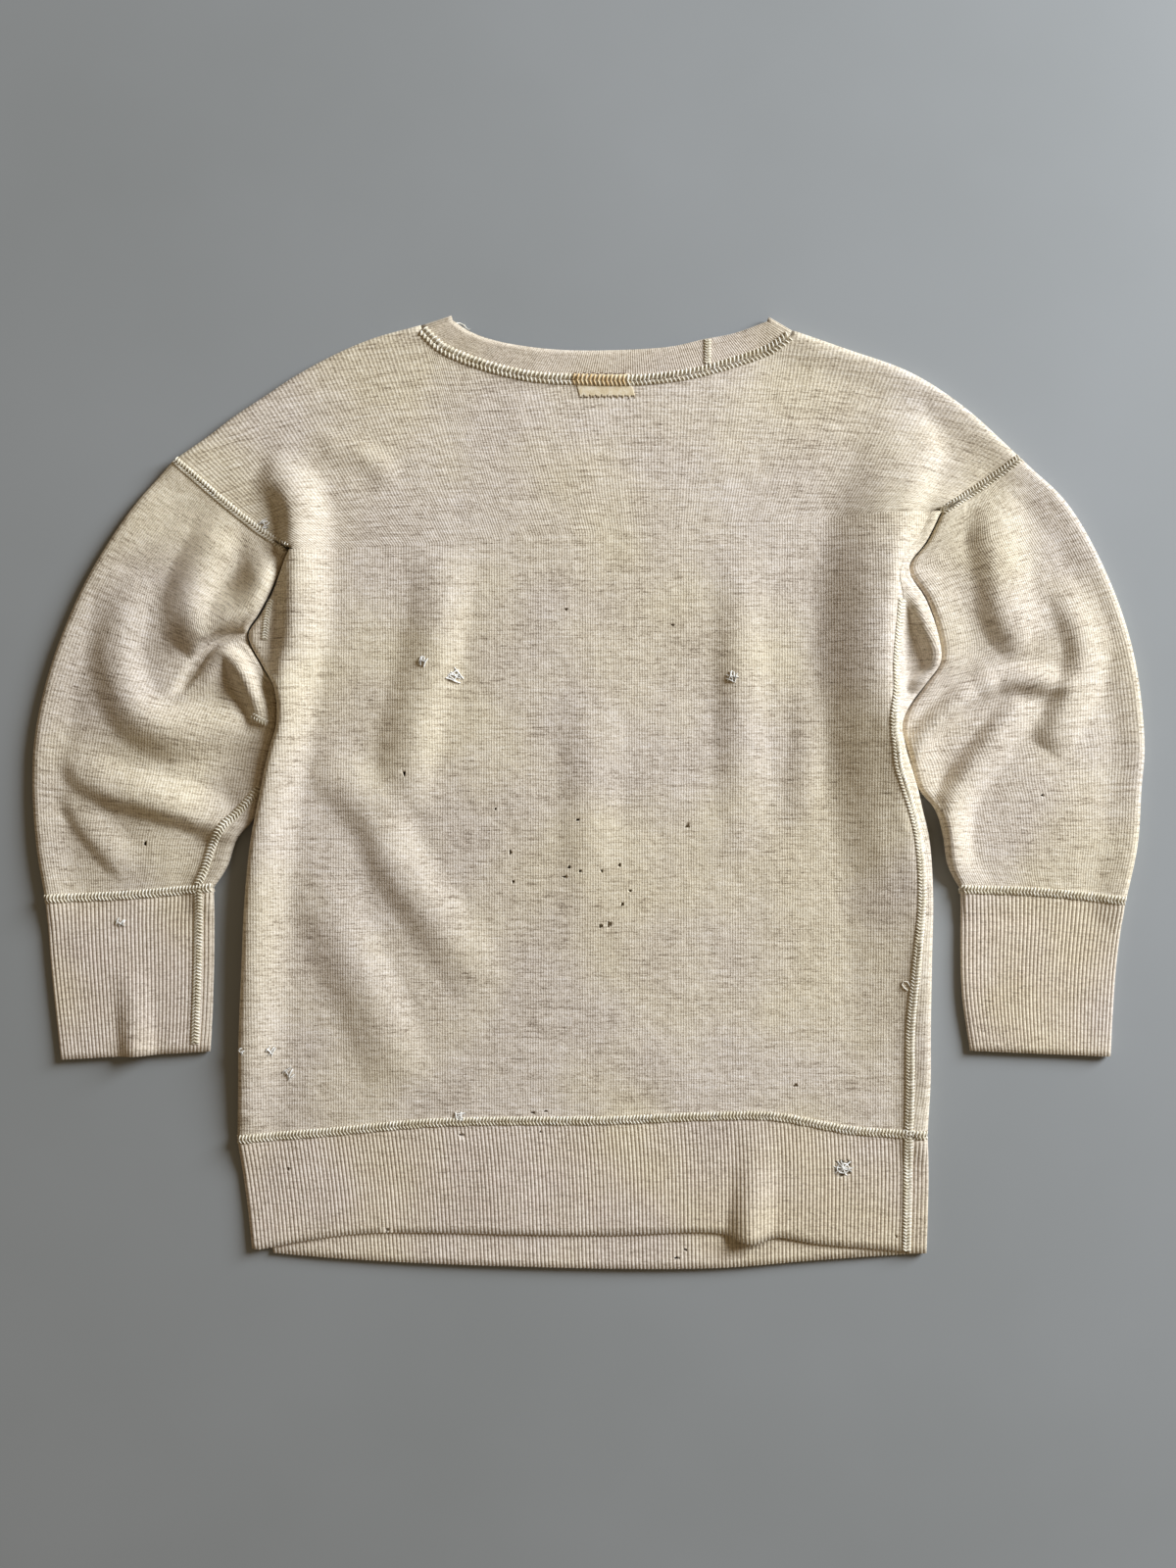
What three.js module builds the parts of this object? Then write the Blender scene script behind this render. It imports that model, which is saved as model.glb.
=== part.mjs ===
// A wool pullover laid out flat on a surface, inside out, with its back uppermost.
// Every piece of cloth is a wall of one thickness: its middle surface is drawn first,
// and then thickened to both sides. Millimetres, +X across, +Y towards the neck, +Z up.
import * as THREE from "three";

// Driving dimensions.
const WALL = 2.2; // thickness of the knitted cloth
const SEAM_GAP = 0.3; // between two pieces that are sewn together
const TOUCH_GAP = 0.9; // between the body's side and a sleeve that lies against it
const UNDER = WALL / 2; // height of the middle of the layer that lies on the surface
const LAID = UNDER + WALL + 0.6; // and of the layer laid on top of it
const FOLD_RISE = 3.2; // how much higher the top layer is beside a folded edge
const FOLD_REACH = 28; // and how far in from the edge that is felt
const CURL = 4; // how far in from its outline an edge starts to curl over
const CURL_STEPS = 4;
const WRAP = 15; // how far the back goes round under the left side
const SHOULDER_WRAP = 9; // and under the shoulders
const BAND_WIDTH = 21; // neckband
const LABEL_WALL = 1;
const WOOL = { color: 0xbfb7a3, roughness: 0.95, metalness: 0 };
const RIB = { color: 0xada08d, roughness: 0.95, metalness: 0 };
const TAPE = { color: 0xcab696, roughness: 0.9, metalness: 0 };

// Stations up the body, from the hem seam to the top of the side seams. Each has the left
// side's outline, the right side's outline and how far in from it the right side seam runs.
const BODY_SIDES = [
  [-264.6, -262.7, 255.7, -259.7, 15.5],
  [-263.8, -223.5, 257.9, -219.8, 17],
  [-263.1, -182.8, 257.9, -179.1, 17],
  [-260.9, -134.7, 258.6, -131, 13.5],
  [-258.6, -85.1, 259.4, -79.2, 10.5],
  [-254.2, -40, 256.4, -35.5, 10.5],
  [-250.5, -20, 251.2, -14.1, 10.5],
  [-246, 1.5, 247.5, 1.5, 12],
  [-243.8, 13.3, 242.3, 17.8, 12],
  [-239.4, 31.8, 237.2, 34.8, 9],
  [-234.2, 50.3, 235.7, 51.8, 9],
  [-235.7, 77, 252.7, 78.4, 23],
  [-246, 94, 264.6, 96.2, 35],
  [-256.4, 116.9, 263.1, 116.2, 32],
  [-247.5, 131.7, 254.2, 143.6, 20],
  [-240.1, 145, 240.9, 166.5, 9],
  [-232, 162.8, 254.9, 187.2, 9],
  [-224.6, 179.8, 266, 209.4, 9],
];
// The armholes' seams go on from there to the shoulders' ends.
const ARMHOLE_LEFT = [[-224.6, 179.8], [-248.3, 195.6], [-270.5, 213], [-291, 230.5], [-311.9, 248.6]];
const ARMHOLE_RIGHT = [[266, 209.4], [280.8, 218.8], [295.6, 228.6], [310.4, 239], [325.2, 250.1]];
const SHOULDER_LEFT = [
  [-311.9, 248.6], [-285.3, 267.1], [-266.8, 281.2], [-244.6, 296], [-222.4, 310.8],
  [-192.8, 327.1], [-163.2, 339.7], [-126.2, 350],
];
const SHOULDER_RIGHT = [[153.6, 346.3], [192, 333], [243.8, 313.8], [284.5, 287.1], [325.2, 250.1]];
const NECK_SEAM_BACK = [
  [-124.8, 345.1], [-111.4, 333], [-88.4, 322.6], [-61, 314.5], [-36.6, 310.1], [-9.2, 308.6],
  [29.2, 307.8], [74.4, 312.3], [108.4, 321.2], [138, 332], [151.9, 341.5],
];
const NECK_EDGE_BACK = [
  [-101.8, 352.7], [-88.4, 344.3], [-67.7, 337.4], [-27, 331.5], [18.1, 330.8], [63.3, 333.7],
  [86.2, 338.9], [108.4, 343.1], [134.2, 351.9],
];
const NECK_SEAM_FRONT = [
  [-124.8, 345.1], [-114, 316], [-82, 281], [-30, 262], [10.7, 258.3], [58.8, 263.4],
  [108, 284], [141, 315], [151.9, 341.5],
];
const HEM_SEAM_BACK = [
  [-264.6, -262.7], [-196.5, -257.5], [-111.4, -250.1], [12.9, -248.6], [88.4, -245.7],
  [138.8, -245.7], [197.9, -256], [255.7, -259.7],
];
const HEM_EDGE_BACK = [
  [-254.9, -346.3], [-212, -338.2], [-168.3, -333], [12.9, -334.5], [98.8, -333], [121, -339.5],
  [142.4, -336], [168.3, -340.4], [207.6, -344.1], [255.7, -347.8],
];
const HEM_SEAM_FRONT = [[-264.6, -262.7], [-186.8, -272], [-30, -279], [128.4, -278], [255.7, -259.7]];
const HEM_EDGE_FRONT = [
  [-254.9, -346.3], [-186.8, -352.2], [-74.4, -357.4], [89.2, -359.5], [168.3, -353.7],
  [255.7, -347.8],
];
// A sleeve's outer fold. Its inner one follows the body's side and then these points.
const SLEEVE_LEFT_OUTER = [
  [-311.9, 248.6], [-344.5, 210.9], [-378.5, 156.9], [-404.4, 94], [-416.2, 42.9],
  [-418.4, 5.9], [-414.8, -45.9], [-408.9, -81],
];
const SLEEVE_LEFT_INNER = [[-250.5, -20], [-263.8, -37], [-271.2, -57.7], [-281.5, -73.5]];
const SLEEVE_RIGHT_OUTER = [
  [325.2, 250.1], [360, 216.1], [390.4, 162.1], [410.3, 102.1], [418.4, 34.8], [416.2, 1.5],
  [413.3, -40.7], [404.4, -83.6],
];
const SLEEVE_RIGHT_INNER = [[259.4, -14.1], [265.3, -32.6], [269.7, -56.9], [279.4, -74.7]];
const TOUCHING_FROM = 7; // the sleeves lie against the body from this station up
// A cuff's folds go on from there.
const CUFF_LEFT = { outer: [[-404.5, -130], [-397, -202.8]], inner: [[-283, -130], [-285.3, -196.5]] };
const CUFF_RIGHT = { outer: [[397, -134.7], [392.6, -200.5]], inner: [[281.6, -150], [288.2, -196.1]] };

const LABEL_ENDS = [-6.5, 35]; // where what is left of the label starts and stops
const LABEL_ROWS = [315.5, 309, 303.7, 298.5];
const LABEL_SLANT = 0.27; // how far left each row is for every mm that it is up
const LABEL_CLIMB = [308.5, 0.09]; // from here up the label climbs onto the neckband
const NUDGE = 0.01; // a small share of a curve's length, to read its direction from

// Folds and dents of the top layer: points of a crest as x, y and rise, and how far the
// slopes reach to the left and to the right of the way the points run.
const BODY_CREASES = [
  { crest: [[-248, 236, 0], [-243, 234, 3], [-233.5, 230, 7], [-225, 221, 10], [-220.2, 206, 12],
    [-219.4, 183.5, 12.5], [-220.2, 139, 12.5], [-222.4, 113, 12.5], [-228, 83.6, 12], [-232, 57.7,
    11.5], [-236, 31.8, 10.5], [-241, -1.5, 9.5], [-246, -38.5, 8.5], [-250, -90, 8], [-252, -142,
    7], [-254, -201, 5], [-255, -240, 2]], left: 30, right: 15 },
  { crest: [[-205, 254.6, 0], [-190, 256, 2], [-170, 252, 2.5], [-154, 238, 1.5], [-148, 225, 0]],
    left: 14, right: 14 },
  { crest: [[-108.4, 183.5, 0], [-108.4, 165, 3], [-112.9, 124.3, 6], [-118.8, 88.8, 6.5], [-127.7,
    59.2, 6.5], [-133.6, 26.6, 6], [-136.5, -3, 4], [-137, -22, 0]], left: 26, right: 30 },
  { crest: [[-206, 22, 0], [-196, 14, 2.5], [-176.5, -3, 4.5], [-156, -27.4, 5.5], [-146.9, -53.3,
    6], [-129.9, -79.2, 5.5], [-111.4, -105.1, 4.5], [-91.4, -133.2, 2.5], [-78, -156.9, 0]], left:
    30, right: 24 },
  { crest: [[-206, -40, 0], [-200, -60, 1.5], [-195, -82.9, 3], [-185.4, -108.8, 4.5], [-173.5,
    -134.7, 5.5], [-159.5, -164.3, 5.5], [-148.4, -190.2, 4], [-137.3, -216, 1.5], [-132, -228, 0]],
    left: 28, right: 34 },
  { crest: [[0, 80, 0], [0, 60, 1.2], [0, 20, 2.6], [0, -30, 2.6], [1, -68, 1.2], [2, -105, 0]],
    left: 30, right: 26 },
  { crest: [[114.3, 190, 0], [114.3, 165, 1.5], [113.5, 120, 3.5], [114, 60, 4], [115.5, 10, 3],
    [117, -40, 1], [118, -72, 0]], left: 26, right: 22 },
  { crest: [[165.4, 92, 0], [165.4, 65.1, 1.2], [163.9, 35.5, 2.2], [162.4, -1.5, 2], [162.4, -36,
    0]], left: 18, right: 16 },
  { crest: [[264, 268, 0], [254.9, 261.2, 4], [243.8, 235.3, 9], [230.5, 198.3, 13], [224, 168.7,
    15.5], [221, 124.3, 16], [221.5, 79.9, 15.5], [226, 35.5, 14], [233, -8.9, 12], [240.5, -53.3,
    10], [243, -112.5, 6], [246, -170, 3], [248, -225, 1]], left: 22, right: 54 },
  { crest: [[240, 150, 4], [251, 126, 7], [259, 103, 8], [257, 88, 8], [245, 80, 6]], left: 8,
    right: 8 },
  { crest: [[128, -245, 0], [127, -268, 1], [124, -303, 4], [121, -337, 8]], left: 20, right: 19 },
];
const LEFT_SLEEVE_CREASES = [
  { crest: [[-285, 205, 0], [-306, 130, 4], [-320, 40, 4.5], [-335, -40, 3], [-340, -75, 0]], left:
    50, right: 95 },
  { crest: [[-262, 212, 0], [-268.3, 205.7, 3], [-280.1, 183.5, 6], [-291.9, 161.3, 7], [-299.3,
    139.1, 7], [-299, 124, 5], [-297, 112, 2], [-296, 106, 0]], left: 20, right: 24 },
  { crest: [[-236, 205, 0], [-236, 190, 6], [-239, 168, 9], [-246, 148, 9.5], [-258, 134, 9.5],
    [-272, 127, 9], [-285, 120, 7], [-295, 110, 3], [-299, 104, 0]], left: 12, right: 26 },
  { crest: [[-344, 168, 0], [-345.9, 153.9, 2], [-348.9, 133.9, 4], [-352.6, 102.9, 5.5], [-346.7,
    74, 6.5], [-333.4, 54, 7.5], [-309.7, 43.5, 8.5], [-285.3, 46.6, 8.5], [-266, 54, 6], [-256, 60,
    0]], left: 22, right: 26 },
  { crest: [[-296, 66, 0], [-286, 80, 5], [-279, 93, 7.5], [-275, 101, 8.5], [-268, 103, 7], [-260,
    92, 5], [-251, 76, 3], [-242, 60, 0]], left: 10, right: 11 },
  { crest: [[-392, 34, 0], [-387, 22, 2], [-381.5, 13.3, 4], [-361.5, 0, 7], [-333.4, -7.4, 8.5],
    [-303.8, -16.3, 8.5], [-280.1, -25.2, 6], [-270, -28, 3]], left: 26, right: 15 },
  { crest: [[-398, 10, 0], [-386, -12, 2.5], [-373, -32, 3.5], [-356, -52, 3], [-345, -64, 0]],
    left: 22, right: 12 },
  { crest: [[-345, -130, 0], [-343, -155, 2], [-341, -182, 4.5], [-339, -204, 7]], left: 17, right:
    15 },
];
const RIGHT_SLEEVE_CREASES = [
  { crest: [[295, 200, 0], [335, 120, 2], [345, 20, 2], [345, -70, 0]], left: 60, right: 75 },
  { crest: [[291, 236, 0], [298, 224, 2.5], [303, 189.4, 5.5], [306.7, 158.4, 6.5], [311.2, 131,
    7.5], [320, 117, 6], [330, 110, 2], [336, 107, 0]], left: 30, right: 20 },
  { crest: [[355, 158, 0], [359, 148, 2], [362.2, 133.9, 4], [370.4, 108.8, 5.5], [367.4, 84.4,
    6.5], [354.8, 56.2, 6.5], [345.2, 40.7, 4], [340, 33, 0]], left: 24, right: 16 },
  { crest: [[290, 76, 0], [302.3, 80.4, 4], [325.2, 82.9, 5.5], [345.2, 79.9, 5], [358, 78, 2.5],
    [366, 77, 0]], left: 16, right: 11 },
  { crest: [[328, 68, 0], [325.2, 62.2, 3], [310.4, 46.6, 7], [294.2, 26.6, 9], [279.4, 5.9, 10],
    [269.5, -17.8, 10], [268, -40, 8], [270, -60, 4], [271, -70, 0]], left: 22, right: 14 },
  { crest: [[240, 24, 2], [243.8, 29.6, 5], [254.9, 44.4, 8.5], [269.7, 59.2, 9.5], [284.5, 71, 8],
    [299.3, 78, 4], [308, 80, 0]], left: 13, right: 11 },
];

const mix = (a, b, t) => a + (b - a) * t;
const between = (p, q, t) => [mix(p[0], q[0], t), mix(p[1], q[1], t)];

// A smooth curve through points, read by its share of length.
function curveThrough(points) {
  const flat = points.map(([x, y]) => new THREE.Vector3(x, y, 0));
  const curve = new THREE.CatmullRomCurve3(flat, false, "centripetal");
  return (t) => {
    const { x, y } = curve.getPointAt(Math.min(Math.max(t, 0), 1));
    return [x, y];
  };
}

// A row of points moved sideways by a distance, to the left of the way they run.
function moveSideways(points, distance) {
  return points.map((point, i) => {
    const before = points[Math.max(i - 1, 0)];
    const after = points[Math.min(i + 1, points.length - 1)];
    const one = new THREE.Vector2(point[0] - before[0], point[1] - before[1]).normalize();
    const two = new THREE.Vector2(after[0] - point[0], after[1] - point[1]).normalize();
    const along = one.clone().add(two).normalize();
    const bend = Math.max(along.dot(one.lengthSq() > 0 ? one : two), 0.6);
    return [point[0] - (along.y * distance) / bend, point[1] + (along.x * distance) / bend];
  });
}

// How much a list of creases lifts the cloth at a place.
function liftAt(creases, x, y) {
  let lift = 0;
  for (const { crest, left, right } of creases) {
    let nearest = { distance: Infinity };
    for (let i = 0; i + 1 < crest.length; i++) {
      const [ax, ay, aRise] = crest[i];
      const [bx, by, bRise] = crest[i + 1];
      const length2 = (bx - ax) ** 2 + (by - ay) ** 2;
      const along = ((x - ax) * (bx - ax) + (y - ay) * (by - ay)) / length2;
      const t = Math.min(Math.max(along, 0), 1);
      const distance = Math.hypot(x - mix(ax, bx, t), y - mix(ay, by, t));
      const side = (bx - ax) * (y - ay) - (by - ay) * (x - ax);
      if (distance < nearest.distance) nearest = { distance, side, rise: mix(aRise, bRise, t) };
    }
    const share = nearest.distance / (nearest.side > 0 ? left : right);
    if (share < 1) lift += nearest.rise * (1 - share ** 2) ** 2;
  }
  return lift;
}

const outline = (points) => ({
  crest: points.map(([x, y]) => [x, y, FOLD_RISE]), left: FOLD_REACH, right: FOLD_REACH,
});
const bodyLeft = BODY_SIDES.map(([x, y]) => [x, y]);
const bodyRight = BODY_SIDES.map(([, , x, y]) => [x, y]);
const bodyFolds = [
  ...BODY_CREASES, outline(bodyLeft), outline(bodyRight), outline(SHOULDER_LEFT), outline(SHOULDER_RIGHT),
];
const bodyHeight = (x, y) => LAID + liftAt(bodyFolds, x, y);

// A middle surface: points, triangles, and for points on a sewn edge the direction across
// the seam, which the thickness then keeps square to.
class Surface {
  constructor() {
    this.points = [];
    this.triangles = [];
    this.across = new Map();
  }
  point(x, y, z, across) {
    this.points.push(new THREE.Vector3(x, y, z));
    if (across) this.across.set(this.points.length - 1, across);
    return this.points.length - 1;
  }
  // Joins two rows of point numbers with a strip of triangles.
  strip(low, high) {
    for (let i = 0; i + 1 < low.length; i++) {
      this.triangles.push([low[i], low[i + 1], high[i + 1]], [low[i], high[i + 1], high[i]]);
    }
  }
  // Joins rows of point numbers, each with the next.
  rows(rows) {
    for (let j = 0; j + 1 < rows.length; j++) this.strip(rows[j], rows[j + 1]);
  }
  // The closed wall of a given thickness around this surface.
  wall(thickness) {
    const normals = this.points.map(() => new THREE.Vector3());
    const edges = new Map();
    for (const [a, b, c] of this.triangles) {
      const ab = this.points[b].clone().sub(this.points[a]);
      const normal = ab.cross(this.points[c].clone().sub(this.points[a]));
      for (const corner of [a, b, c]) normals[corner].add(normal);
      for (const [from, to] of [[a, b], [b, c], [c, a]]) edges.set(`${from}_${to}`, [from, to]);
    }
    normals.forEach((normal, i) => {
      const across = this.across.get(i);
      if (across) normal.addScaledVector(across, -normal.dot(across));
      normal.normalize();
    });
    const positions = [];
    for (const side of [0.5, -0.5]) {
      this.points.forEach((point, i) => {
        positions.push(...point.clone().addScaledVector(normals[i], side * thickness).toArray());
      });
    }
    const count = this.points.length;
    const index = [];
    for (const [a, b, c] of this.triangles) index.push(a, b, c, c + count, b + count, a + count);
    for (const [from, to] of edges.values()) {
      if (edges.has(`${to}_${from}`)) continue;
      index.push(from, from + count, to + count, from, to + count, to);
    }
    const geometry = new THREE.BufferGeometry();
    geometry.setAttribute("position", new THREE.Float32BufferAttribute(positions, 3));
    geometry.setIndex(index);
    geometry.computeVertexNormals();
    return geometry;
  }
}

// The direction across the way from one place to another, level with the surface.
function acrossFrom(p, q) {
  return new THREE.Vector3(-(q[1] - p[1]), q[0] - p[0], 0).normalize();
}

// The points of a curled edge, from above its inset point to below it, as place and height.
function curl(inset, edge, top) {
  const middle = (top + UNDER) / 2;
  const points = [];
  for (let i = 1; i <= CURL_STEPS; i++) {
    const angle = (Math.PI * i) / CURL_STEPS;
    const [x, y] = between(inset, edge, Math.sin(angle));
    points.push([x, y, middle + (top - middle) * Math.cos(angle)]);
  }
  return points;
}

// A point at a distance from p towards q.
function towards(p, q, distance) {
  return between(p, q, distance / Math.hypot(q[0] - p[0], q[1] - p[1]));
}

// Where the body's columns stand, as shares of the width at the hem and at the top.
const NECK_FROM = (NECK_SEAM_BACK[0][0] - ARMHOLE_LEFT[4][0]) / (ARMHOLE_RIGHT[4][0] - ARMHOLE_LEFT[4][0]);
const NECK_TO = (NECK_SEAM_BACK[10][0] - ARMHOLE_LEFT[4][0]) / (ARMHOLE_RIGHT[4][0] - ARMHOLE_LEFT[4][0]);
const SHOULDER_COLUMNS = 5;
const NECK_COLUMNS = 8;
const COLUMNS = [];
for (let i = 0; i < SHOULDER_COLUMNS; i++) COLUMNS.push((NECK_FROM * i) / SHOULDER_COLUMNS);
for (let i = 0; i < NECK_COLUMNS; i++) COLUMNS.push(mix(NECK_FROM, NECK_TO, i / NECK_COLUMNS));
for (let i = 0; i <= SHOULDER_COLUMNS; i++) COLUMNS.push(mix(NECK_TO, 1, i / SHOULDER_COLUMNS));
const NECK_FIRST = SHOULDER_COLUMNS;
const NECK_LAST = SHOULDER_COLUMNS + NECK_COLUMNS;
const neckShare = (i) => (i - NECK_FIRST) / NECK_COLUMNS;

// The body's outline and the lines along it. A line for each station.
const touchInset = (WALL + TOUCH_GAP) / 2;
const leftSide = moveSideways(bodyLeft, -touchInset);
const rightSide = moveSideways(bodyRight, touchInset);
const leftCurlFrom = leftSide.map((p, j) => towards(p, rightSide[j], CURL));
const rightCurlFrom = rightSide.map((p, j) => towards(p, leftSide[j], CURL));
const rightSeamOver = rightSide.map((p, j) => towards(p, leftSide[j], BODY_SIDES[j][4] - touchInset));
const LAST_STATION = BODY_SIDES.length - 1;
const armholeLeft = moveSideways(ARMHOLE_LEFT, -SEAM_GAP / 2);
const armholeRight = moveSideways(ARMHOLE_RIGHT, SEAM_GAP / 2);
const ARMHOLE_ROWS = ARMHOLE_LEFT.length;
const shoulders = [curveThrough(SHOULDER_LEFT), curveThrough(SHOULDER_RIGHT)];
const neckSeamBack = curveThrough(NECK_SEAM_BACK);
const neckSeamFront = curveThrough(NECK_SEAM_FRONT);
const neckEdgeBack = curveThrough(NECK_EDGE_BACK);

// A shoulder's outward direction at a column, and a place at a depth in from its outline.
// At the shoulder's end it runs along the armhole, as the sleeve's edge does.
function shoulderAt(i, depth) {
  if (i === 0 || i === COLUMNS.length - 1) {
    const armhole = i === 0 ? armholeLeft : armholeRight;
    const [end, inner] = [armhole[ARMHOLE_ROWS - 1], armhole[ARMHOLE_ROWS - 2]];
    const out = new THREE.Vector3(end[0] - inner[0], end[1] - inner[1], 0).normalize();
    return { out, place: towards(end, inner, depth) };
  }
  const curve = shoulders[i <= NECK_FIRST ? 0 : 1];
  const share = i <= NECK_FIRST ? i / SHOULDER_COLUMNS : (i - NECK_LAST) / SHOULDER_COLUMNS;
  const out = acrossFrom(curve(share - 2 * NUDGE), curve(share + 2 * NUDGE));
  const here = curve(share);
  return { out, place: [here[0] - out.x * depth, here[1] - out.y * depth] };
}

// A place on a neck seam, moved across it by a distance, outwards for the neckband.
function neckAt(seam, i, shift) {
  const share = neckShare(i);
  const across = acrossFrom(seam(share - NUDGE), seam(share + NUDGE));
  const here = seam(share);
  return { across, place: [here[0] + across.x * shift, here[1] + across.y * shift] };
}

// The body's top line: the shoulders at a depth from their outline, the neck seam between.
function topLine(neckSeam, depth) {
  return COLUMNS.map((_, i) => {
    if (i > NECK_FIRST && i < NECK_LAST) return neckAt(neckSeam, i, -SEAM_GAP / 2).place;
    return shoulderAt(i, depth).place;
  });
}

// The body's yoke: rows from the top of the side seams to a top line, between the armholes.
function yoke(first, last) {
  const end = COLUMNS.length - 1;
  const left = [first[0], ...armholeLeft.slice(1, -1), last[0]];
  const right = [first[end], ...armholeRight.slice(1, -1), last[end]];
  const rows = [];
  for (let k = 1; k < ARMHOLE_ROWS; k++) {
    const t = k / (ARMHOLE_ROWS - 1);
    rows.push(COLUMNS.map((u, i) => {
      const across = between(left[k], right[k], u);
      const corner = between(between(left[0], right[0], u), between(last[0], last[end], u), t);
      const up = between(first[i], last[i], t);
      return [across[0] + up[0] - corner[0], across[1] + up[1] - corner[1]];
    }));
  }
  return rows;
}

// The rows between the hem seam and the top of the side seams.
function sidesGrid(left, right, hem) {
  const end = COLUMNS.length - 1;
  return left.map((leftEnd, j) => {
    const bow = Math.max(1 - j / 5, 0);
    return COLUMNS.map((u, i) => {
      const [x, y] = between(leftEnd, right[j], u);
      const straight = mix(hem[0][1], hem[end][1], u);
      return [x, y + bow * (hem[i][1] - straight)];
    });
  });
}

function hemLine(points, left, right) {
  const curve = curveThrough(points);
  const end = COLUMNS.length - 1;
  return COLUMNS.map((u, i) => {
    const y = i === 0 ? left[1] : i === end ? right[1] : curve(u)[1];
    return [mix(left[0], right[0], u), y];
  });
}

const sweater = new THREE.Group();
function add(name, surface, thickness, look) {
  const mesh = new THREE.Mesh(surface.wall(thickness), new THREE.MeshStandardMaterial(look));
  mesh.name = name;
  sweater.add(mesh);
}

// The direction that the wall keeps square to at a panel's sewn borders.
function panelAcross(grid, j, i) {
  const end = COLUMNS.length - 1;
  const row = grid[j];
  if (i === 0 || i === end) {
    return acrossFrom(grid[Math.max(j - 1, 0)][i], grid[Math.min(j + 1, grid.length - 1)][i]);
  }
  if (j === 0) return acrossFrom(row[i - 1], row[i + 1]);
  if (j === grid.length - 1 && i > NECK_FIRST && i < NECK_LAST) return acrossFrom(row[i - 1], row[i + 1]);
  return undefined;
}

const UP_THE_BODY = new THREE.Vector3(0, 1, 0);
const atHem = (j) => (j === 0 ? UP_THE_BODY : undefined);
const aboveHem = (j) => (j === 0 ? SEAM_GAP / 2 : 0);

// Back panel: the upper layer. It curls round the left side to the seam under it, and over
// the shoulders. Its right border is the side seam, which shows on top.
function backPanel() {
  const back = new Surface();
  const right = rightSeamOver.map((p, j) => towards(p, leftSide[j], SEAM_GAP / 2));
  const hem = hemLine(HEM_SEAM_BACK, leftCurlFrom[0], right[0]);
  const lower = sidesGrid(leftCurlFrom, right, hem);
  const top = topLine(neckSeamBack, WALL / 2 + CURL);
  const grid = [...lower, ...yoke(lower[LAST_STATION], top)];
  const rows = grid.map((row, j) => row.map(([x, y], i) => {
    return back.point(x, y + aboveHem(j), bodyHeight(x, y), panelAcross(grid, j, i));
  }));
  rows.forEach((row, j) => {
    if (j < LAST_STATION && j > 0) back.across.delete(row[0]);
  });
  back.rows(rows);
  back.rows(lower.map((row, j) => {
    const round = curl(row[0], leftSide[j], bodyHeight(...row[0]));
    const end = towards(leftSide[j], rightSide[j], WRAP - SEAM_GAP / 2);
    const under = [...round, [...end, UNDER]];
    return [...under.reverse().map(([x, y, z]) => back.point(x, y + aboveHem(j), z, atHem(j))), rows[j][0]];
  }));
  for (const [from, to] of [[0, NECK_FIRST], [NECK_LAST, COLUMNS.length - 1]]) {
    const columns = [];
    for (let i = from; i <= to; i++) {
      const { out, place } = shoulderAt(i, WALL / 2);
      const along = i === from || i === to ? new THREE.Vector3(out.y, -out.x, 0) : undefined;
      const round = curl(top[i], place, bodyHeight(...top[i]));
      const under = [...round, [...shoulderAt(i, WALL / 2 + SHOULDER_WRAP).place, UNDER]];
      const upper = rows[rows.length - 1][i];
      if (along) back.across.set(upper, along);
      columns.push([upper, ...under.map(([x, y, z]) => back.point(x, y, z, along))]);
    }
    back.rows(columns[0].map((_, k) => columns.map((column) => column[k])));
  }
  add("back_panel", back, WALL, WOOL);
}

// Front panel: the layer that lies on the surface, under the back. It curls up round the
// right side to the side seam on top.
function frontPanel() {
  const front = new Surface();
  const end = COLUMNS.length - 1;
  const left = leftSide.map((p, j) => towards(p, rightSide[j], WRAP + SEAM_GAP / 2));
  const hem = hemLine(HEM_SEAM_FRONT, left[0], rightCurlFrom[0]);
  const lower = sidesGrid(left, rightCurlFrom, hem);
  const top = topLine(neckSeamFront, WALL / 2 + SHOULDER_WRAP + SEAM_GAP);
  const grid = [...lower, ...yoke(lower[LAST_STATION], top)];
  const rows = grid.map((row, j) => row.map(([x, y]) => front.point(x, y + aboveHem(j), UNDER)));
  front.rows(rows);
  const seam = rightSeamOver.map((p, j) => towards(p, rightSide[j], SEAM_GAP / 2));
  front.rows(lower.map((row, j) => {
    const inset = row[end];
    const top = bodyHeight(...inset);
    const round = [...curl(inset, rightSide[j], top).slice(0, -1).reverse(), [...inset, top]];
    const strip = [0.5, 1].map((t) => between(inset, seam[j], t));
    const over = [...round, ...strip.map(([x, y]) => [x, y, bodyHeight(x, y)])];
    const last = over.length - 1;
    return [rows[j][end], ...over.map(([x, y, z], k) => {
      const across = k === last && j > 0 ? new THREE.Vector3(1, 0, 0) : atHem(j);
      return front.point(x, y + aboveHem(j), z, across);
    })];
  }));
  add("front_panel", front, WALL, WOOL);
}

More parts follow.
